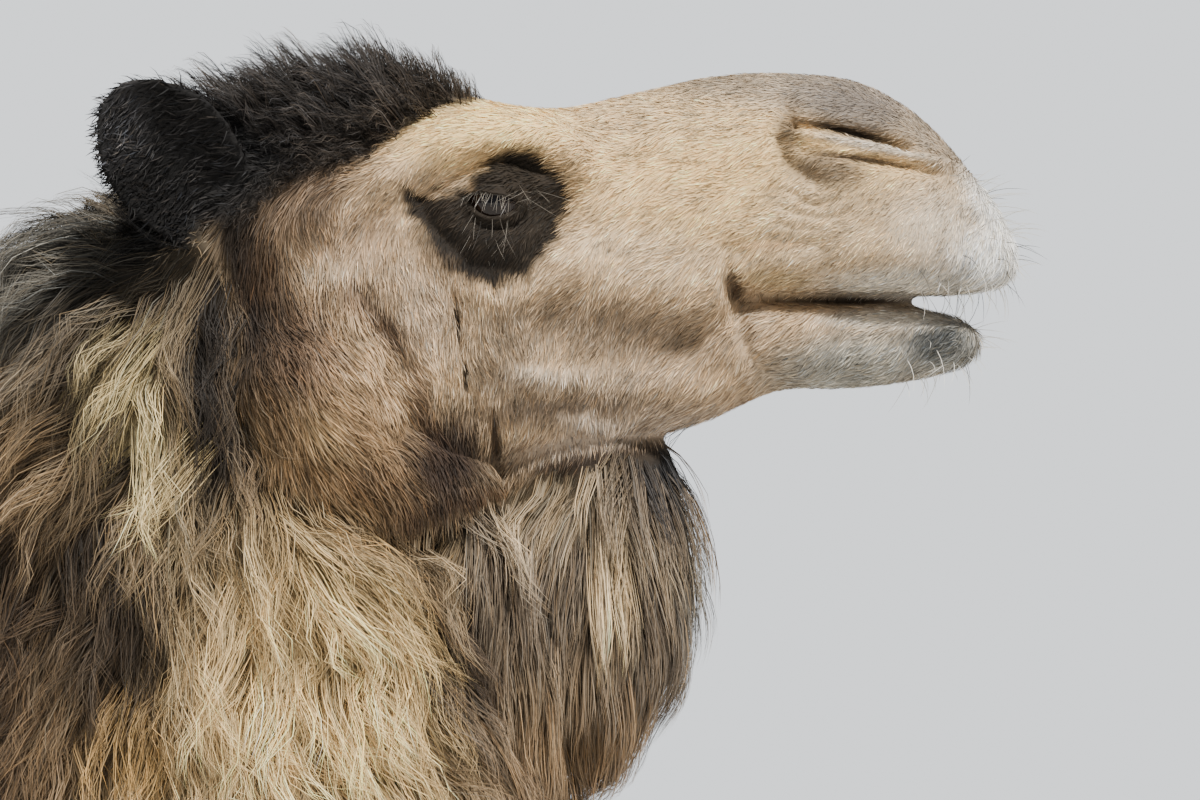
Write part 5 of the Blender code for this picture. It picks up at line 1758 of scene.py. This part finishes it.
@dataclass(frozen=True)
class Finish:
    """How one kind of surface looks."""

    name: str
    roughness: float
    specular: float
    scale: float
    amount: float
    grain: float = 300.0
    stretch: tuple = (1.0, 1.0, 1.0)
    bump: float = 0.0
    depth: float = 0.001
    coat: float = 0.0
    sheen: float = 0.0

    def material(self) -> bpy.types.Material:
        """Makes the material, coloured by the tone of the piece's own points.

        Returns:
            The material.
        """
        material = bpy.data.materials.new(self.name)
        material.use_nodes = True
        tree = material.node_tree
        shader = tree.nodes["Principled BSDF"]
        tone = tree.nodes.new("ShaderNodeAttribute")
        tone.attribute_name = "tone"
        mottle = tree.nodes.new("ShaderNodeGroup")
        mottle.node_tree = bpy.data.node_groups["coat_mottle"]
        mottle.inputs["Scale"].default_value = self.scale
        mottle.inputs["Amount"].default_value = self.amount
        tree.links.new(tone.outputs["Color"], mottle.inputs["Color"])
        tree.links.new(mottle.outputs["Color"], shader.inputs["Base Color"])
        shader.inputs["Roughness"].default_value = self.roughness
        shader.inputs["Specular IOR Level"].default_value = self.specular
        shader.inputs["Coat Weight"].default_value = self.coat
        shader.inputs["Coat Roughness"].default_value = 0.03
        shader.inputs["Sheen Weight"].default_value = self.sheen
        shader.inputs["Sheen Roughness"].default_value = 0.5
        if self.bump:
            grain = tree.nodes.new("ShaderNodeGroup")
            grain.node_tree = bpy.data.node_groups["fine_grain"]
            grain.inputs["Scale"].default_value = self.grain
            grain.inputs["Stretch"].default_value = self.stretch
            bump = tree.nodes.new("ShaderNodeBump")
            bump.inputs["Strength"].default_value = self.bump
            bump.inputs["Distance"].default_value = self.depth
            tree.links.new(grain.outputs["Height"], bump.inputs["Height"])
            tree.links.new(bump.outputs["Normal"], shader.inputs["Normal"])
        return material


FINISHES = (
    Finish("skin_finish", 0.82, 0.22, 60.0, 0.30, grain=420.0, bump=0.5, depth=0.0015),
    Finish("fur_finish", 0.68, 0.16, 9.0, 0.30, sheen=0.06),
    Finish("wool_finish", 0.62, 0.20, 7.0, 0.45, sheen=0.08),
    Finish("dark_finish", 0.60, 0.14, 14.0, 0.35),
    Finish("eye_finish", 0.06, 0.26, 90.0, 0.50, coat=0.12),
    Finish("nail_finish", 0.48, 0.45, 45.0, 0.60, grain=260.0, stretch=(0.35, 1.0, 1.6), bump=0.6, depth=0.0012),
    Finish("lash_finish", 0.38, 0.45, 30.0, 0.15),
)


def set_tone(piece: bpy.types.Object, colours: Array) -> None:
    """Writes the colour of every point into the piece's tone.

    Args:
        piece: The piece.
        colours: A linear colour for each point.
    """
    tone = np.ones((len(colours), 4), np.float32)
    tone[:, :3] = np.clip(colours, 0.0, 1.0)
    attribute = piece.data.attributes.new("tone", "FLOAT_COLOR", "POINT")
    attribute.data.foreach_set("color", tone.ravel())


def dress(piece: bpy.types.Object, finish: str, nodes: Sequence[str] = ()) -> None:
    """Gives a piece its finish, and says what it rides on and stands for.

    Args:
        piece: The piece.
        finish: The name of its finish.
        nodes: The solids that it stands for.
    """
    piece.data.materials.clear()
    piece.data.materials.append(bpy.data.materials[finish])
    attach(piece, BODY)
    if nodes:
        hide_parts(*nodes)
    triangles = sum(max(face.loop_total - 2, 0) for face in piece.data.polygons)
    LOG.info("%s: %d triangles", piece.name, triangles)


# ---- Eyes, lashes, whiskers and nails ----------------------------------------------------------


@dataclass
class Eye:
    """An eyeball with its lashes."""

    name: str
    side: int
    lids: Eyelids = Eyelids()
    upper: int = 34
    lower: int = 38
    corner: int = 18

    def ball(self) -> bpy.types.Object:
        """Makes the eyeball, with a dark iris round a long pupil.

        Returns:
            The piece, dressed.
        """
        shape = bmesh.new()
        middle, basis = self.lids.basis(self.side)
        bmesh.ops.create_uvsphere(shape, u_segments=48, v_segments=32, radius=EYE_RADIUS)
        mesh = bpy.data.meshes.new(f"eyeball_{self.name}")
        shape.to_mesh(mesh)
        shape.free()
        local = points_of(mesh)[:, [0, 1, 2]]
        outward = unit(local)
        across, height = outward[:, 0] * EYE_RADIUS, outward[:, 1] * EYE_RADIUS
        cornea = 1.0 + 0.045 * soft(0.80, 1.0, outward[:, 2])
        world = middle + (local * cornea[:, None]) @ basis
        move_points(mesh, world)
        if np.linalg.det(basis) < 0:
            mesh.flip_normals()
        mesh.shade_smooth()
        front = outward[:, 2] > 0
        iris = np.hypot(across, height) < 0.0155
        pupil = np.hypot(across / 0.0075, height / 0.0036) < 1
        colours = np.tile(linear((40, 31, 26)), (len(world), 1))
        colours[front & iris] = linear((26, 17, 12))
        colours[front & pupil] = linear((6, 6, 8))
        piece = bpy.data.objects.new(mesh.name, mesh)
        bpy.context.scene.collection.objects.link(piece)
        set_tone(piece, colours)
        dress(piece, "eye_finish", [f"eye_{self.name}"])
        return piece

    def lashes(self) -> bpy.types.Object:
        """Makes the long lashes of both lids, most of them pale, partly as painted highlights on dark lashes.

        Returns:
            The piece, dressed.
        """
        random = np.random.RandomState(40 + self.side)
        middle, basis = self.lids.basis(self.side)
        group = np.repeat((0, 1, 2), (self.upper, self.lower, self.corner))
        count = len(group)
        spot = np.where(group == 2, random.uniform(0.50, 1.70, count), random.uniform(-1.45, 0.75, count))
        across = spot * self.lids.half_width
        arch = np.sqrt(np.clip(1 - spot**2, 0.02, 1))
        height = np.choose(group, (
            self.lids.rise * arch + 0.0012 * random.uniform(0.2, 1.6, count),
            -self.lids.fall - random.uniform(0.000, 0.014, count),
            random.uniform(0.001, 0.014, count),
        ))
        radius = EYE_RADIUS + self.lids.thickness
        flat = np.stack((across, height), axis=1) / radius
        deep = np.sqrt(np.clip(1 - (flat**2).sum(axis=1), 0.10, 1))
        roots = np.column_stack((flat, deep)) * radius
        length = np.choose(group, (
            random.uniform(0.009, 0.016, count),
            random.uniform(0.013, 0.026, count),
            random.uniform(0.012, 0.024, count),
        ))
        start = unit(np.column_stack((
            0.30 * spot + 0.16 * random.standard_normal(count),
            np.choose(group, (-0.45, -0.85, 0.05)) + 0.12 * random.standard_normal(count),
            np.choose(group, (0.80, 0.45, 0.80)),
        )))
        steps = np.linspace(0, 1, 6)
        curl = np.choose(group, (-0.9, -0.35, -0.9)) * random.uniform(0.4, 1.4, count)
        aside = length * np.where(group == 2, 0.9, 0.22) * random.standard_normal(count)
        bent = start[:, None] * (length[:, None] * steps)[:, :, None]
        bent[:, :, 1] += (length * curl)[:, None] * 0.5 * steps**2
        bent[:, :, 0] += aside[:, None] * steps**2
        paths = middle + (roots[:, None] + bent) @ basis
        tangent = unit(np.gradient(paths, axis=1))
        sides = unit(np.cross(tangent, basis[2]))
        widths = 0.00023 * random.uniform(0.7, 1.3, count)[:, None] * np.linspace(1.0, 0.5, 6)
        # painted highlight: two lashes in three are pale, standing partly for light glinting on dark lashes
        pale = np.where(random.random_sample(count) < 0.66, 0.46, 0.10)[:, None, None]
        ramp = (0.35 + 0.65 * steps)[None, :, None]
        colours = linear((214, 204, 188)) * pale * ramp
        piece = strands(f"lashes_{self.name}", paths, sides, widths, colours, unwrapped(paths[:, 0], 1))
        dress(piece, "lash_finish")
        return piece


@dataclass
class Whiskers:
    """Long single hairs that stand out from the lips and the chin."""

    spacing: float = 0.0105
    length: tuple = (0.010, 0.030)
    width: float = 0.00042

    def grow(self, ground: Ground) -> bpy.types.Object:
        """Grows the whiskers.

        Args:
            ground: The skin.

        Returns:
            The piece, dressed.
        """
        random = np.random.RandomState(7)

        def share(points: Array) -> Array:
            """Covers the front of the lips and the chin."""
            local = points - HEAD_AT
            front = soft(0.47, 0.53, local[:, 0] + 0.3 * np.clip(-local[:, 2], 0, 0.1))
            return front * soft(0.070, 0.030, local[:, 2])

        roots, normals = ground.roots(share, self.spacing, random)
        count = len(roots)
        lie = ground.comb.lie(roots, normals)
        start = unit(normals + 0.35 * random.standard_normal((count, 3)) + (0.25, 0.0, 0.0))
        steps = np.linspace(0, 1, 5)
        length = random.uniform(*self.length, count)
        paths = roots[:, None] + start[:, None] * (length[:, None] * steps)[:, :, None]
        paths = paths + lie[:, None] * (length[:, None] * 0.35 * steps**2)[:, :, None]
        tangent = unit(np.gradient(paths, axis=1))
        sides = unit(np.cross(tangent, np.array((0.0, 1.0, 0.2))))
        widths = self.width * np.tile((1.0, 0.9, 0.75, 0.55, 0.0), (count, 1))
        pale = np.where(random.random_sample(count) < 0.8, 1.0, 0.1)[:, None, None]
        colours = np.tile(linear((214, 210, 200)), (count, 5, 1)) * pale
        piece = strands("whiskers", paths, sides, widths, colours, unwrapped(roots, 0))
        dress(piece, "lash_finish")
        return piece


@dataclass
class Nails:
    """The two blunt nails at the front of each foot."""

    def build(self) -> bpy.types.Object:
        """Makes all eight nails.

        Returns:
            The piece, dressed.
        """
        shape, names = bmesh.new(), []
        for front, name, side in each_leg():
            for toe, toe_side in (("outer", 1), ("inner", -1)):
                names.append(f"{'foreleg' if front else 'hindleg'}_{name}_nail_{toe}")
                at = mirrored(NAIL_AT, toe_side * side)
                place = foot_place(front, name, side) @ Matrix.Translation(at)
                made = bmesh.ops.create_uvsphere(shape, u_segments=32, v_segments=22, radius=1.0)
                for vertex in made["verts"]:
                    x, y, z = vertex.co
                    full = 1.0 - 0.30 * max(z, 0.0)
                    crown = 0.86 + 0.14 * math.cos(3.0 * y)
                    ridge = 1.0 + 0.012 * math.sin(16.0 * z + 4.0 * x)
                    half = NAIL_HALF
                    vertex.co = place @ Vector((
                        half.x * (0.88 * x * crown * ridge - 0.16 * z * (1.0 + x)),
                        half.y * math.copysign(abs(y) ** 0.88, y) * full * ridge,
                        half.z * math.copysign(abs(z) ** 0.85, z) * (0.94 if z > 0 else 1.0),
                    ))
        mesh = bpy.data.meshes.new("toe_nails")
        shape.to_mesh(mesh)
        shape.free()
        mesh.shade_smooth()
        piece = bpy.data.objects.new("toe_nails", mesh)
        bpy.context.scene.collection.objects.link(piece)
        height = soft(0.010, 0.055, points_of(mesh)[:, 2])[:, None]
        set_tone(piece, linear((66, 57, 48)) * (1 - height) + linear((38, 33, 29)) * height)
        dress(piece, "nail_finish", names)
        return piece


# ---- Studio ------------------------------------------------------------------------------------


@dataclass
class Studio:
    """A plain pale floor, soft light and the camera."""

    lens: float = 143.3
    eye: tuple = (1.072, -3.2, 1.8495)
    fill: float = 0.50  # the soft light from all round
    backdrop: float = 1.5
    sun: float = 7.4

    def build(self) -> None:
        """Sets up floor, light and camera."""
        bpy.ops.mesh.primitive_plane_add(size=24.0)
        floor = bpy.context.object
        floor.name = "floor"
        material = bpy.data.materials.new("floor_finish")
        material.use_nodes = True
        shader = material.node_tree.nodes["Principled BSDF"]
        shader.inputs["Base Color"].default_value = (0.62, 0.61, 0.59, 1.0)
        shader.inputs["Roughness"].default_value = 0.85
        floor.data.materials.append(material)
        world = bpy.data.worlds.new("studio")
        bpy.context.scene.world = world
        world.use_nodes = True
        backdrop = world.node_tree.nodes["Background"]
        backdrop.inputs["Color"].default_value = (0.86, 0.89, 0.92, 1.0)
        path = world.node_tree.nodes.new("ShaderNodeLightPath")
        seen = world.node_tree.nodes.new("ShaderNodeMapRange")
        seen.inputs["To Min"].default_value = self.fill
        seen.inputs["To Max"].default_value = self.backdrop
        world.node_tree.links.new(path.outputs["Is Camera Ray"], seen.inputs["Value"])
        world.node_tree.links.new(seen.outputs["Result"], backdrop.inputs["Strength"])
        sun = bpy.data.lights.new("key", "SUN")
        sun.energy, sun.angle, sun.color = self.sun, 0.10, (1.0, 0.965, 0.91)
        key = bpy.data.objects.new("key", sun)
        key.rotation_euler = Vector((0.28, -0.46, 0.84)).to_track_quat("Z", "Y").to_euler()
        bpy.context.scene.collection.objects.link(key)
        camera = bpy.data.objects.new("camera", bpy.data.cameras.new("camera"))
        camera.data.lens, camera.data.sensor_width = self.lens, 36.0
        camera.location = self.eye
        camera.rotation_euler = (math.pi / 2, 0.0, 0.0)
        bpy.context.scene.collection.objects.link(camera)
        bpy.context.scene.camera = camera


# ---- The whole camel ---------------------------------------------------------------------------

SKIN_NODES = tuple(
    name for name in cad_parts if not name.startswith("eye_") and "_nail_" not in name
)


def face_length(points: Array) -> Array:
    """Gives the length of the face's short hair, longest on the jaw and the rear of the cheek."""
    local = points - HEAD_AT
    x, z = local[:, 0], local[:, 2]
    length = 0.0062 - 0.0018 * soft(0.33, 0.42, x) + 0.0022 * soft(0.02, -0.06, z)
    length += 0.0110 * soft(0.15, 0.04, x + 0.25 * z) + 0.0060 * soft(-0.09, -0.14, z) * soft(0.22, 0.17, x)
    return length + 0.0030 * soft(0.48, 0.53, x)


def face_side(side: int) -> Callable[[Array], Array]:
    """Chooses one side of the face."""

    def share(points: Array) -> Array:
        """Covers the face but for crown, ears and the opening of the eye."""
        local = points - HEAD_AT
        eye = np.hypot(local[:, 0] - EYE_AT.x, (local[:, 2] - EYE_AT.z + 0.002) * 1.5)
        bare = soft(0.013, 0.020, eye) * 0.95 + 0.05
        mouth = 1.0 - (local[:, 0] > 0.37) * soft(0.0034, 0.0012, np.abs(local[:, 2] + 0.0345))
        face = region_share(local, Region.FACE) * (1.0 - crown_share(local))
        return face * (1.0 - ear_share(local)) * bare * mouth * (local[:, 1] * side > 0)

    return share


def crown_cover(points: Array) -> Array:
    """Covers the crown between brow and nape."""
    local = points - HEAD_AT
    band = crown_share(local) * (local[:, 0] > -0.075) * (local[:, 2] > 0.005)
    return band * (1.0 - ear_share(local)) * soft(0.215, 0.185, local[:, 0])


def crown_trim(points: Array) -> Array:
    """Shortens the crown's hair towards the brow and the temple."""
    local = points - HEAD_AT
    front = soft(0.20, 0.12, local[:, 0])
    return 0.35 + 0.65 * front * soft(0.04, 0.10, local[:, 2])


def ear_cover(points: Array) -> Array:
    """Covers both ears."""
    return ear_share(points - HEAD_AT)


def beard_cover(points: Array) -> Array:
    """Covers the beard under the throat."""
    return region_share(points - HEAD_AT, Region.BEARD)


def neck_cover(low: float, high: float, side: int = 0) -> Callable[[Array], Array]:
    """Chooses the neck between two heights, on one side or on both."""

    def share(points: Array) -> Array:
        """Covers that stretch of the neck."""
        local = points - HEAD_AT
        neck = region_share(local, Region.NECK) * (1.0 - ear_share(local))
        neck *= 1.0 - crown_share(local) * (local[:, 0] > -0.06) * (local[:, 2] > 0.02)
        slope = points[:, 2] + 0.45 * (points[:, 0] - 0.80)
        band = (slope >= low) & (slope < high) & (points[:, 0] > 0.24) & (points[:, 2] > 0.93)
        return neck * band * ((points[:, 1] * side > 0) if side else 1.0)

    return share


def trunk_cover(side: int) -> Callable[[Array], Array]:
    """Chooses one side of the trunk."""

    def share(points: Array) -> Array:
        """Covers the trunk without neck, humps and legs."""
        x, z = points[:, 0], points[:, 2]
        slope = z + 0.45 * (x - 0.80)
        free = (slope < NECK_FOOT) | (x <= 0.42)
        return free * (z > 0.86) * (z < 1.74) * (points[:, 1] * side > 0) * (x > -1.29)

    return share


NECK_FOOT = 1.13
NECK_WAIST = 1.46


def hump_cover(points: Array) -> Array:
    """Covers both humps."""
    return (points[:, 2] >= 1.74) * (points[:, 0] < 0.32) * 1.0


def thigh_cover(points: Array) -> Array:
    """Covers the shaggy upper part of the legs."""
    return (points[:, 2] <= 0.86) * (points[:, 2] > 0.60) * (points[:, 0] > -1.24) * 1.0


def shank_cover(points: Array) -> Array:
    """Covers the lower legs down to the sole."""
    return (points[:, 2] <= 0.62) * soft(0.006, 0.020, points[:, 2]) * 1.0


def shank_length(points: Array) -> Array:
    """Gives the length of the hair on the lower legs, shortest on the feet."""
    return 0.0085 + 0.0150 * soft(0.10, 0.55, points[:, 2])


def tail_cover(points: Array) -> Array:
    """Covers the tail."""
    return (points[:, 0] < -1.235) * (points[:, 2] < 1.50) * 1.0


def constant(length: float) -> Callable[[Array], Array]:
    """Gives the same length everywhere."""
    return lambda points: np.full(len(points), length)


FACE_TINT = Tint(root=0.58, tip=1.18, vary=0.21, dark_share=0.17, bright_share=0.13, bright=1.32)
DARK_TINT = Tint(root=0.60, tip=1.35, vary=0.30, dark_share=0.10, bright_share=0.12, bright=1.9)
WOOL_TINT = Tint(root=0.38, tip=1.32, vary=0.20, dark_share=0.14, bright_share=0.12, bright=1.38)
MANE_TINT = Tint(root=0.34, tip=1.34, vary=0.26, dark_share=0.20, bright_share=0.14, bright=1.42)

COAT = (
    Fur("fur_face_right", "face", face_side(-1), 0.0019, face_length, 0.00062, tint=FACE_TINT, seed=11),
    Fur("fur_face_left", "face", face_side(1), 0.0019, face_length, 0.00062, tint=FACE_TINT, seed=12),
    Fur("fur_ears", "dark", ear_cover, 0.0030, constant(0.010), 0.0009, lift=0.30, wild=0.35, axis=1,
        tint=DARK_TINT, seed=13),
    Fur("fur_shanks", "body", shank_cover, 0.0048, shank_length, 0.00135, lift=0.11, axis=2,
        tint=FACE_TINT, seed=14),
    Locks("locks_crown", "dark", crown_cover, 0.0044, (0.022, 0.038), (0.004, 0.036), 7, 0.0055, 0.00052,
          clump=0.25, curl=0.0028, waves=1.1, cling=0.6, fall=0.0, wild=0.5, axis=0, steps=5,
          tint=DARK_TINT, seed=21, trim=crown_trim),
    Locks("locks_beard", "mane", beard_cover, 0.0078, (0.055, 0.095), (0.002, 0.022), 10, 0.0075, 0.00062,
          clump=0.40, curl=0.0016, waves=0.9, cling=0.85, fall=0.15, wild=0.10, tint=WOOL_TINT, seed=22,
          sweep=0.10),
    Locks("locks_neck_right", "mane", neck_cover(NECK_WAIST, 9.0, -1), 0.0122, (0.060, 0.120),
          (0.003, 0.036), 19, 0.0120, 0.00054, clump=0.70, curl=0.0075, waves=1.3, cling=0.75,
          fall=0.20, wild=0.26, sweep=0.42, steps=5, tint=MANE_TINT, seed=23),
    Locks("locks_neck_left", "mane", neck_cover(NECK_WAIST, 9.0, 1), 0.0122, (0.060, 0.120),
          (0.003, 0.036), 19, 0.0120, 0.00054, clump=0.70, curl=0.0075, waves=1.3, cling=0.75,
          fall=0.20, wild=0.26, sweep=0.42, steps=5, tint=MANE_TINT, seed=24),
    Locks("locks_neck_foot", "mane", neck_cover(NECK_FOOT, NECK_WAIST), 0.0140, (0.080, 0.140),
          (0.006, 0.036), 8, 0.0130, 0.0028, clump=0.55, curl=0.0060, waves=1.5, cling=0.6,
          fall=0.30, steps=5, tint=WOOL_TINT, seed=25),
    Locks("locks_trunk_right", "body", trunk_cover(-1), 0.0222, (0.060, 0.105), (0.004, 0.028), 7,
          0.0150, 0.0050, clump=0.50, curl=0.0050, waves=1.2, cling=0.9, fall=0.1, axis=0, steps=4,
          tint=WOOL_TINT, seed=26),
    Locks("locks_trunk_left", "body", trunk_cover(1), 0.0222, (0.060, 0.105), (0.004, 0.028), 7,
          0.0150, 0.0050, clump=0.50, curl=0.0050, waves=1.2, cling=0.9, fall=0.1, axis=0, steps=4,
          tint=WOOL_TINT, seed=27),
    Locks("locks_humps", "body", hump_cover, 0.0188, (0.055, 0.105), (0.004, 0.028), 7, 0.0130, 0.0042,
          clump=0.55, curl=0.0060, waves=1.4, cling=0.85, fall=0.15, steps=4, tint=WOOL_TINT, seed=28),
    Locks("locks_thighs", "body", thigh_cover, 0.0170, (0.045, 0.090), (0.003, 0.030), 6, 0.0110, 0.0032,
          clump=0.60, curl=0.0050, waves=1.3, cling=0.8, fall=0.2, steps=5, tint=WOOL_TINT, seed=29),
    Locks("locks_tail", "mane", tail_cover, 0.0100, (0.090, 0.170), (0.003, 0.030), 8, 0.0070, 0.0020,
          clump=0.40, curl=0.0040, waves=1.4, cling=0.25, fall=0.6, wild=0.1, tint=WOOL_TINT, seed=30),
)


def main() -> None:
    """Builds the skin, coat, eyes, nails and studio in order."""
    logging.basicConfig(level=logging.INFO, format="%(message)s")
    mottle_effect()
    grain_effect()
    for finish in FINISHES:
        finish.material()
    markings = Markings()
    skin = Skin().build()
    points = points_of(skin.data)
    # Painted shade: the skin is darkened under the coat, most under the long wool, so that the gaps between the
    # hairs read as shade.
    wool_shade = 1.0 - region_share(points - HEAD_AT, Region.FACE)
    wool_shade *= 0.35 + 0.65 * soft(0.52, 0.66, points[:, 2])
    set_tone(skin, markings.colour(points) * (0.85 - 0.60 * wool_shade)[:, None])
    dress(skin, "skin_finish", SKIN_NODES)
    ground = Ground(skin, markings, Comb())
    for cover in COAT:
        finish = {"face": "fur_finish", "dark": "dark_finish"}.get(cover.slot, "wool_finish")
        dress(cover.grow(ground), finish)
    for name, side in SIDES:
        eye = Eye(name, side)
        eye.ball()
        eye.lashes()
    Whiskers().grow(ground)
    Nails().build()
    Studio().build()
    bpy.context.view_layer.update()


if __name__ == "__main__":
    main()
